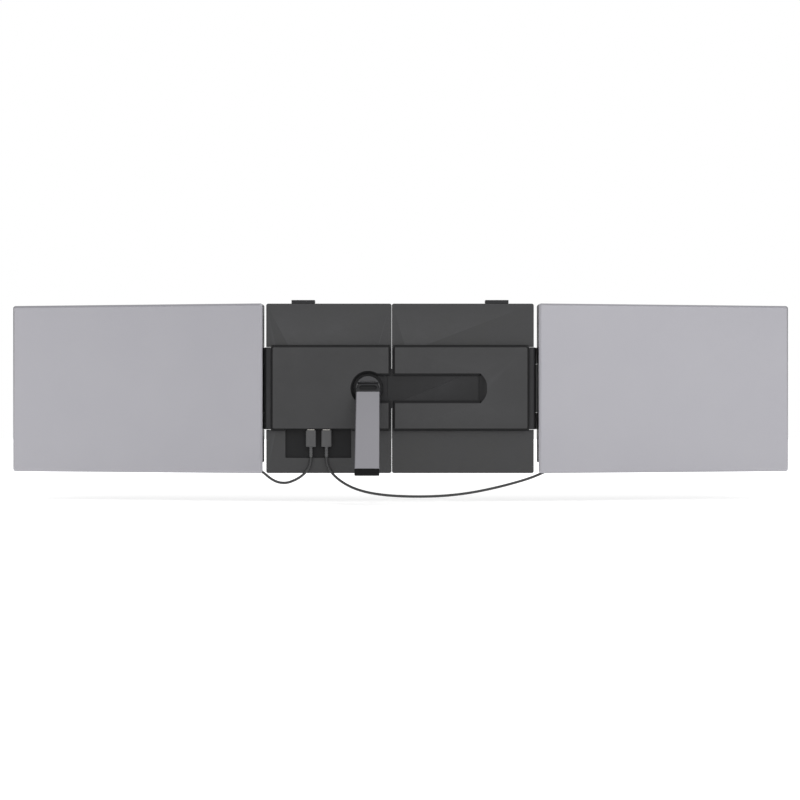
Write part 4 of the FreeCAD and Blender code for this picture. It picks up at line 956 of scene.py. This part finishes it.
@dataclass
class ScreenCord:
    """One of the two thin leads from the bracket's ports to the screens.

    Each is a round sheath that leaves its plug downwards, hangs in one loose bow and rises
    into the cable bay of its screen. Where it crosses more than one joint it is made of
    lengths that meet on its line.
    """

    name: str
    route: Points
    stands_for: str
    lengths: tuple[tuple[str, str, float], ...]
    cuts: tuple[float, ...] = ()
    gauge: float = 3.2
    around: int = 14
    steps: int = 7

    def line(self) -> np.ndarray:
        """Points along the route's smooth curve, in metres, as the NURBS spline gives them.

        Returns:
            Array of points × 3.
        """
        curve = bpy.data.curves.new(self.name + "_line", "CURVE")
        curve.dimensions = "3D"
        curve.resolution_u = self.steps
        spline = curve.splines.new("NURBS")
        spline.points.add(len(self.route) - 1)
        spline.points.foreach_set("co", np.hstack([np.array(self.route) * MM, np.ones((len(self.route), 1))]).ravel())
        spline.order_u = 3
        spline.use_endpoint_u = True
        holder = bpy.data.objects.new(self.name + "_line", curve)
        bpy.context.scene.collection.objects.link(holder)
        bpy.context.view_layer.update()
        mesh = bpy.data.meshes.new_from_object(holder)
        line = np.empty(len(mesh.vertices) * 3, np.float32)
        mesh.vertices.foreach_get("co", line)
        bpy.data.objects.remove(holder)
        bpy.data.curves.remove(curve)
        bpy.data.meshes.remove(mesh)
        return line.reshape(-1, 3).astype(float)

    def tube(self, name: str, line: np.ndarray) -> bpy.types.Object:
        """A round tube along a line.

        Each ring is the centre plus radius × (cos t · side + sin t · up), where side is the Y
        axis made square to the line, and up is square to both.

        Args:
            name: the piece's name.
            line: the ring centres in metres.

        Returns:
            The tube.
        """
        along = np.gradient(line, axis=0)
        along /= np.linalg.norm(along, axis=1, keepdims=True)
        side = np.array((0.0, 1.0, 0.0)) - along * along[:, 1:2]
        side /= np.linalg.norm(side, axis=1, keepdims=True)
        up = np.cross(along, side)
        turn = np.linspace(0, 2 * math.pi, self.around, endpoint=False)[None, :, None]
        rings = line[:, None] / MM + self.gauge / 2 * (np.cos(turn) * side[:, None] + np.sin(turn) * up[:, None])
        return skin(name, rings)

    def build(self, bench: Bench) -> None:
        """Args:
            bench: the assembly bench.
        """
        line = self.line()
        cuts = [0, *(int(np.abs(line[:, 0] / MM - cut).argmin()) for cut in self.cuts), len(line) - 1]
        for number, (first, second, length) in enumerate(self.lengths):
            part = line[cuts[number] : cuts[number + 1] + 1]
            name = f"{self.name}_{number + 1}"
            piece = self.tube(name, part)
            mark_edges(piece.data)
            bench.finishes.dress(piece, bench.finishes.by_slot["cable_sheath"])
            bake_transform(piece)
            if number == 0:
                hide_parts(self.stands_for)
                bench.carried.discard(self.stands_for)
            measured = np.linalg.norm(np.diff(part, axis=0), axis=1).sum() / MM
            LOG.info("%s: %.1f mm long by its line, %d rings", name, measured, len(part))


LEFT_CORD = ScreenCord(
    "left_cord",
    (
        (-108.5, -9.5, -83.7), (-108.9, -9.5, -91.4), (-112.4, -9.6, -99.4), (-119.0, -9.6, -106.4),
        (-128.2, -9.4, -112.0), (-138.6, -9.0, -115.6), (-149.4, -8.2, -114.6), (-158.6, -7.0, -109.6),
        (-166.4, -5.4, -102.8), (-174.2, -3.1, -98.2), (-184.8, 0.0, -96.4), (-196.9, 2.7, -96.8),
    ),
    "left_cable",
    (("root", "left_screen", 112.0),),
)  # fmt: skip

RIGHT_CORD = ScreenCord(
    "right_cord",
    (
        (-89.6, -9.5, -83.7), (-89.3, -9.5, -91.6), (-85.6, -9.6, -99.8), (-79.0, -9.7, -107.6),
        (-69.0, -9.8, -115.4), (-54.8, -9.8, -122.6), (-36.0, -9.7, -127.8), (-12.0, -9.4, -130.9),
        (16.0, -9.0, -132.0), (47.0, -8.5, -131.6), (79.0, -7.9, -128.6), (110.0, -7.1, -122.8),
        (138.0, -6.2, -115.8), (160.0, -5.3, -109.2), (176.0, -3.2, -102.4), (186.6, 0.1, -98.0),
        (198.4, 2.9, -96.8),
    ),
    "right_cable",
    (("root", "right_half", 264.0), ("right_half", "right_screen", 51.0)),
    cuts=(150.0,),
)  # fmt: skip


# Small parts


@dataclass(frozen=True)
class Plug:
    """A small reversible data plug.

    Its soft-touch body is a superellipse carried along the cord's way, with rounded ends. A
    thinner round sleeve with ribs follows, and a drawn metal tongue stands out in front.
    """

    name: str
    body: str
    stands_for: str
    shoulder: np.ndarray
    along: np.ndarray
    across: np.ndarray
    body_long: float
    sleeve_long: float
    half_wide: float = 6.2
    half_thick: float = 3.25
    corner: float = 0.9
    squareness: float = 4.6
    sleeve: float = 2.15
    rib: float = 0.3
    ribs: int = 4
    tongue: tuple[float, float, float] = (4.1, 1.2, 6.2)

    def carried(self, name: str, stations: np.ndarray, around: int) -> bpy.types.Object:
        """Carries superellipses along the plug.

        Args:
            name: the piece's name.
            stations: rows of distance, half width, half thickness and power.
            around: points in a ring.

        Returns:
            The closed object.
        """
        flat = superellipse(stations[:, 1], stations[:, 2], stations[:, 3], around)
        deep = np.cross(self.along, self.across)
        centres = self.shoulder + stations[:, :1] * self.along
        return skin(name, centres[:, None] + flat[..., :1] * self.across + flat[..., 1:] * deep)

    def stations(self) -> np.ndarray:
        """The body's rounded ends and the sleeve's ribs, as rows for carried()."""
        turn = np.linspace(0, math.pi / 2, 5)
        inset = self.corner * (1 - np.sin(turn))
        step = self.corner * (1 - np.cos(turn))
        inset, step = np.append(inset, inset[::-1]), np.append(step, self.body_long - step[::-1])
        power = np.full(len(step), self.squareness)
        case = np.stack([step, self.half_wide - inset, self.half_thick - inset, power], -1)
        rows = 4 * self.ribs + 1
        ring = self.sleeve - self.rib * np.resize((0.0, 0.0, 1.0, 1.0), rows)
        run = self.body_long + np.linspace(0.0, 1.0, rows) * self.sleeve_long
        return np.vstack([case, np.stack([run, ring, ring, np.full(rows, 2.0)], -1)])

    def build(self, bench: Bench) -> None:
        """Makes the plug and its tongue.

        Args:
            bench: the assembly bench.
        """
        moulding = self.carried(self.name, self.stations(), 48)
        bench.mount(moulding, self.body, "plug_plastic", self.stands_for)
        wide, thick, long = self.tongue
        rows = [(0.3, wide, thick, 5.0), (-long + 0.4, wide, thick, 5.0), (-long, wide - 0.3, thick - 0.3, 5.0)]
        shell = self.carried(self.name + "_tongue", np.array(rows), 32)
        bench.mount(shell, self.body, "port_metal")


@dataclass(frozen=True)
class SocketScrew:
    """A small cap screw: a turned head with a rounded rim and a hexagon socket, and a plain shank."""

    head: float = 1.9
    head_high: float = 1.0
    shank: float = 1.0
    socket: float = 1.0

    def profile(self, long: float) -> np.ndarray:
        """Rows of distance from the head's top, radius and how much of a hexagon."""
        h, s = self.head, self.socket
        rows = [(long, self.shank - 0.25, 0), (long - 0.25, self.shank, 0), (self.head_high, self.shank, 0)]
        rows += [(self.head_high, h, 0), (0.22, h, 0), (0.07, h - 0.07, 0), (0.0, h - 0.22, 0)]
        rows += [(0.0, s + 0.12, 1), (0.1, s, 1), (0.62 * self.head_high, s, 1), (0.75 * self.head_high, 0.3, 0)]
        return np.array(rows, float)

    def made(self, name: str, places: np.ndarray, ends: np.ndarray, way: np.ndarray) -> bpy.types.Object:
        """Several of these screws as one object.

        Args:
            name: the piece's name.
            places: the middle of each head's top.
            ends: each screw's length.
            way: the direction from head to tip.

        Returns:
            The object.
        """
        return joined(name, [turned(f"{name}_{i}", self.profile(e), p, way) for i, (p, e) in enumerate(zip(places, ends))])


# Screens


@dataclass
class HingedPlace:
    """The flat frame of one screen: how far out from its hinge, how far forwards, and up."""

    side: Side
    hinge_x: float = 165.0
    turned_in: float = 12.5

    @property
    def hinge_y(self) -> float:
        """Where the hinge's axis stands, forwards of the bracket's seat."""
        return 0.75 if self.side is Side.LEFT else 7.75

    def axes(self) -> tuple[np.ndarray, np.ndarray]:
        """The outward and the forward direction of the screen."""
        a, s = math.radians(self.turned_in), self.side.value
        return np.array((s * math.cos(a), math.sin(a), 0.0)), np.array((-s * math.sin(a), math.cos(a), 0.0))

    def local(self, points: np.ndarray) -> np.ndarray:
        """Points in the room as out, forwards and up, in millimetres."""
        out, forward = self.axes()
        away = points - np.array((self.side.value * self.hinge_x, self.hinge_y, 0.0))
        return np.stack([away @ out, away @ forward, away[..., 2]], -1)

    def placed(self, points: np.ndarray) -> np.ndarray:
        """Points given as out, forwards and up, put in their place in the room."""
        out, forward = self.axes()
        base = np.array((self.side.value * self.hinge_x, self.hinge_y, 0.0))
        return base + points[..., :1] * out + points[..., 1:2] * forward + points[..., 2:] * np.array((0.0, 0.0, 1.0))

    def box(self, node: str) -> tuple[np.ndarray, np.ndarray]:
        """Lowest and highest corner of a solid in the screen's own frame."""
        mesh = frame["nodes"][node].data
        points = np.empty(len(mesh.vertices) * 3, np.float32)
        mesh.vertices.foreach_get("co", points)
        local = self.local(points.reshape(-1, 3).astype(float) / MM)
        return local.min(0), local.max(0)


@dataclass
class Screen:
    """One screen: silver back, black frame, etched glass, louvres, port, plug and hinge leaf."""

    side: Side
    edge_round: float = 0.35
    shoulder_out: float = 59.8
    plug_body: float = 18.0

    def name(self, part: str) -> str:
        """A part's name with the side in front."""
        return f"{self.side.word}_{part}"

    def glass(self, bench: Bench) -> None:
        """A pane with rounded corners whose front edge is ground off, with a UV map of the whole pane."""
        place = HingedPlace(self.side)
        low, high = place.box(self.name("display_glass"))
        middle, half = (low + high) / 2, (high - low) / 2
        rings = []
        for inset, depth in ((0.0, low[1]), (0.0, high[1] - 0.25), (0.08, high[1] - 0.08), (0.25, high[1])):
            outline = rounded_rectangle(half[0] - inset, half[2] - inset, 2.2 - inset)
            rings.append(np.stack([outline[:, 0] + middle[0], np.full(len(outline), depth), outline[:, 1] + middle[2]], -1))
        local = np.array(rings)
        piece = skin(self.name("display_pane"), place.placed(local))
        mesh = piece.data
        points = np.empty(len(mesh.vertices) * 3, np.float32)
        mesh.vertices.foreach_get("co", points)
        flat = (place.local(points.reshape(-1, 3).astype(float) / MM) - low) / (high - low)
        corner = np.empty(len(mesh.loops), np.int32)
        mesh.loops.foreach_get("vertex_index", corner)
        mesh.uv_layers.new(name="pane").data.foreach_set("uv", flat[corner][:, [0, 2]].astype(np.float32).ravel())
        mesh.polygons.foreach_set("use_smooth", np.zeros(len(mesh.polygons), bool))
        bench.mount(piece, self.name("screen"), "display_glass", self.name("display_glass"))

    def build(self, bench: Bench) -> None:
        """Builds and dresses the screen.

        Args:
            bench: the assembly bench.
        """
        bench.eased(self.name("screen_back"), self.edge_round, 3)
        bench.eased(self.name("screen_frame"), 0.3)
        bench.eased(self.name("hinge_leaf"), 0.15, finish=bench.finishes.black_steel)
        bench.eased(self.name("hinge_pin"), 0.3, finish=bench.finishes.black_steel)
        bench.eased(self.name("edge_vents"), 0.2)
        self.glass(bench)
        self.plug(bench)
        self.screws(bench)

    def plug(self, bench: Bench) -> None:
        """The plug in the cable bay, whose cord leaves it towards the hinge."""
        place = HingedPlace(self.side)
        low, high = place.box(self.name("screen_plug"))
        out, _ = place.axes()
        middle = (low + high) / 2
        shoulder = place.placed(np.array((self.shoulder_out, middle[1], middle[2])))
        rise = np.array((0.0, 0.0, 1.0))
        node = self.name("screen_plug")
        sleeve = self.shoulder_out - self.plug_body - low[0]
        Plug(node + "_moulding", self.name("screen"), node, shoulder, -out, rise, self.plug_body, sleeve).build(bench)

    def screws(self, bench: Bench) -> None:
        """The two screws that hold the hinge leaf, with their heads to the front."""
        place = HingedPlace(self.side)
        node = self.name("leaf_screws")
        low, high = place.box(node)
        head = (high[0] - low[0]) / 2
        rows = [(low[0] + head, high[1], high[2] - head), (low[0] + head, high[1], low[2] + head)]
        _, forward = place.axes()
        piece = SocketScrew(head).made(node + "_turned", place.placed(np.array(rows)), np.full(2, high[1] - low[1]), -forward)
        bench.mount(piece, self.name("screen"), "steel", node, finish=bench.finishes.black_steel)


@dataclass
class Bracket:
    """The two plates with their covers, the slide tray, the seat pads, the hinge arms, the
    hub's ports with their plugs, and the screws that hold it all."""

    cover_low: float = -51.0
    cover_high: float = 52.0
    cover_ends: tuple[tuple[float, float], tuple[float, float]] = ((-157.0, -11.9), (-8.3, 157.0))
    plate_face: float = -7.0
    bay: tuple[float, float, float, float] = (-139.4, -59.8, -84.4, -46.25)
    # Width and rise of the black strips of painted shadow along the covers' edges.
    gasket: float = 0.8
    gasket_rise: float = 0.3
    plug_x: tuple[float, float] = (-108.5, -89.6)
    plug_shoulder: float = -51.0
    plug_body: float = 20.3
    screw_head: float = -1.05

    def shade_bay(self, middles: np.ndarray, normals: np.ndarray) -> np.ndarray:
        """Picks the walls and the floor of the sunk port bay, which are lined in black; the black is partly a real
        lining and partly painted shade in the bay.
        """
        x0, x1, z0, z1 = self.bay
        x, y, z = middles.T
        return (x > x0 - 0.3) & (x < x1 + 0.3) & (z > z0 - 0.3) & (z < z1) & (y > self.plate_face + 0.05) & (y < -4.8)

    def shade_cover(self, middles: np.ndarray, normals: np.ndarray) -> np.ndarray:
        """Picks a cover's slanted rim, and the stand's channel and pocket below the face, for painted shade."""
        slanted = (normals[:, 1] < -0.12) & (normals[:, 1] > -0.93)
        x, y, z = middles.T
        sunk = (np.abs(z) < 18.6) & (x > -58.0) & (x < 107.0) & (y > -13.9) & (y < -8.0)
        return slanted | sunk

    def seams(self, bench: Bench) -> None:
        """Lays thin black strips of painted shadow along each cover's upper and lower edge, where the seam's shadow
        line falls.
        """
        x0, x1 = self.bay[:2]
        (left, middle), (start, right) = self.cover_ends
        runs = {
            "root": ((left, middle, 1), (left, x0 - 1, -1), (x1 + 1, middle, -1)),
            "right_half": ((start, right, 1), (start, right, -1)),
        }
        for number, (body, parts) in enumerate(runs.items()):
            bars = []
            for a, b, way in parts:
                level = (self.cover_high if way > 0 else self.cover_low) + way * self.gasket / 2
                bar = rounded_rectangle((b - a) / 2, self.gasket / 2, 0.3, 3) + ((a + b) / 2, level)
                bars.append(prism(f"bar_{len(bars)}", bar, self.plate_face - self.gasket_rise, self.plate_face))
            piece = joined(("left", "right")[number] + "_cover_gasket", bars)
            bench.mount(piece, body, "rubber", finish=bench.finishes.dark)

    def screws(self, bench: Bench) -> None:
        """The cap screws of both halves, driven in from the front."""
        for side in Side:
            s = side.value
            inner = -28.1 if side is Side.LEFT else 7.9
            rows = [(s * 132.0, z, 8.9) for z in (-43.0, 43.0)] + [(inner, z, 8.9) for z in (-43.0, 43.0)]
            rows += [(s * 148.0, z, 8.4) for z in (-40.0, -20.0, 20.0, 40.0)]
            if side is Side.LEFT:
                rows += [(-12.8, z, 8.4) for z in (-20.0, 20.0)]
            table = np.array(rows)
            heads = np.stack([table[:, 0], np.full(len(table), self.screw_head), table[:, 1]], -1)
            node = side.word + "_bracket_screws"
            piece = SocketScrew().made(node + "_turned", heads, table[:, 2], np.array((0.0, -1.0, 0.0)))
            bench.mount(piece, bench.body(node), "steel", node)

    def plugs(self, bench: Bench) -> None:
        """The two hub plugs, side by side under the left cover."""
        for word, x in zip(("left", "right"), self.plug_x):
            node = word + "_hub_plug"
            low, high = (corner / MM for corner in map(np.array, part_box(node)))
            shoulder = np.array((x, (low[1] + high[1]) / 2, self.plug_shoulder))
            sleeve = self.plug_shoulder - self.plug_body - low[2]
            down, across = np.array((0.0, 0.0, -1.0)), np.array((1.0, 0.0, 0.0))
            Plug(node + "_moulding", "root", node, shoulder, down, across, self.plug_body, sleeve).build(bench)

    def build(self, bench: Bench) -> None:
        """Builds and dresses the bracket.

        Args:
            bench: the assembly bench.
        """
        left = bench.eased("left_plate", 0.4)
        # Paints the port bay black: partly its lining, partly painted shade.
        bench.finishes.tint(left, bench.finishes.dark, self.shade_bay)
        bench.eased("right_plate", 0.4)
        for node in ("left_cover", "right_cover"):
            cover = bench.eased(node, 0.3)
            # Paints shade onto the cover's slanted rim and into the stand's channel and pocket.
            bench.finishes.tint(cover, bench.finishes.rim, self.shade_cover)
        for node in ("slide_tray", "left_hinge_arm", "right_hinge_arm", "left_seat_pads", "right_seat_pads"):
            bench.eased(node, 0.25)
        self.seams(bench)
        self.plugs(bench)
        self.screws(bench)


@dataclass
class Stand:
    """The turning hub, the dark root, the silver leg and the rubber foot."""

    pivot: tuple[float, float, float] = (-38.9, -12.4, 4.5)
    lean: float = 40.0
    hub_face: float = -14.5
    foot_from: float = -131.0
    foot_to: float = -139.4
    foot_wide: float = 14.75
    foot_thick: float = 2.2
    treads: int = 3

    def placed(self, points: np.ndarray) -> np.ndarray:
        """Points given across, through and along the leg, turned by its lean about the pivot."""
        c, s = math.cos(math.radians(self.lean)), math.sin(math.radians(self.lean))
        across, through, along = points[..., 0], points[..., 1], points[..., 2]
        return np.stack([across, through * c + along * s, along * c - through * s], -1) + self.pivot

    def local(self, points: np.ndarray) -> np.ndarray:
        """Points in the room as across, through and along the leg."""
        c, s = math.cos(math.radians(self.lean)), math.sin(math.radians(self.lean))
        away = points - self.pivot
        return np.stack([away[:, 0], away[:, 1] * c - away[:, 2] * s, away[:, 1] * s + away[:, 2] * c], -1)

    def shade_slot(self, middles: np.ndarray, normals: np.ndarray) -> np.ndarray:
        """Picks the walls and floor of the finger slot in the root, which get painted shade."""
        x, through, along = self.local(middles).T
        return (np.abs(x) < 10.8) & (along > -9.8) & (along < -2.4) & (through > -1.72) & (through < 0.2)

    def foot(self, bench: Bench) -> None:
        """The rubber foot: superellipses carried along the leg, with treads cut across it."""
        rows = 4 * self.treads + 1
        cut = 0.3 * np.resize((0.0, 0.0, 1.0, 1.0), rows)
        run = np.linspace(self.foot_from - 0.4, self.foot_to + 1.2, rows)
        wide, thick = self.foot_wide - cut, self.foot_thick - cut
        run = np.concatenate([[self.foot_from], run, [self.foot_to + 0.5, self.foot_to + 0.12, self.foot_to]])
        wide = np.concatenate([[self.foot_wide - 0.3], wide, self.foot_wide - np.array((0.1, 0.5, 1.1))])
        thick = np.concatenate([[self.foot_thick - 0.3], thick, self.foot_thick - np.array((0.1, 0.5, 1.1))])
        flat = superellipse(wide, thick, np.full(len(run), 9.0), 72)
        local = np.concatenate([flat, np.broadcast_to(run[:, None, None], (*flat.shape[:2], 1))], -1)
        piece = skin("stand_foot_moulding", self.placed(local))
        bench.mount(piece, bench.body("stand_foot"), "rubber", "stand_foot", finish=bench.finishes.foot)

    def grip(self, bench: Bench) -> None:
        """A row of short raised bars on the hub's face, for the thumb."""
        bars = []
        for x in np.linspace(-8.4, 8.4, 7):
            bar = rounded_rectangle(1.0, 0.45, 0.44, 4) + (x + self.pivot[0], 8.6)
            bars.append(prism(f"bar_{len(bars)}", bar, self.hub_face - 0.16, self.hub_face + 0.2))
        bench.mount(joined("stand_hub_grip", bars), "stand_hub", "frame_plastic", finish=bench.finishes.dark)

    def screw(self, bench: Bench) -> None:
        """The screw that the hub turns on, with its head to the front."""
        low, high = (corner / MM for corner in map(np.array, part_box("stand_screw")))
        top = np.array(((low[0] + high[0]) / 2, high[1], 0.0))
        piece = SocketScrew(3.0, 1.7, 1.5, 1.5).made(
            "stand_screw_turned", top[None], np.array([high[1] - low[1]]), np.array((0.0, -1.0, 0.0))
        )
        bench.mount(piece, "stand_hub", "steel", "stand_screw")

    def build(self, bench: Bench) -> None:
        """Builds and dresses the stand.

        Args:
            bench: the assembly bench.
        """
        bench.eased("stand_hub", 0.25, finish=bench.finishes.hub)
        root = bench.eased("stand_root", 0.3)
        # Paints shade into the root's finger slot.
        bench.finishes.tint(root, bench.finishes.dark, self.shade_slot)
        # The leg takes the darker aluminium with painted shade.
        bench.eased("stand_leg", 0.4, 3, finish=bench.finishes.leg)
        bench.eased("stand_washer", 0.2)
        self.foot(bench)
        self.grip(bench)
        self.screw(bench)


@dataclass
class Hooks:
    """The two sliding hooks that hold the laptop's lid, with their pads."""

    def build(self, bench: Bench) -> None:
        """Builds and dresses the hooks.

        Args:
            bench: the assembly bench.
        """
        for side in Side:
            bench.eased(f"{side.word}_hook", 0.4, 3)
            bench.eased(f"{side.word}_hook_pad", 0.2)


def main() -> None:
    """Builds the whole scene in order."""
    logging.basicConfig(level=logging.INFO, format="%(name)s: %(message)s")
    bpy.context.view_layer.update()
    Studio().build()
    bench = Bench(Finishes())
    for cord in (LEFT_CORD, RIGHT_CORD):
        cord.build(bench)
    Bracket().build(bench)
    for side in Side:
        Screen(side).build(bench)
    Stand().build(bench)
    Hooks().build(bench)
    bench.dress_the_rest()


if __name__ == "__main__":
    main()
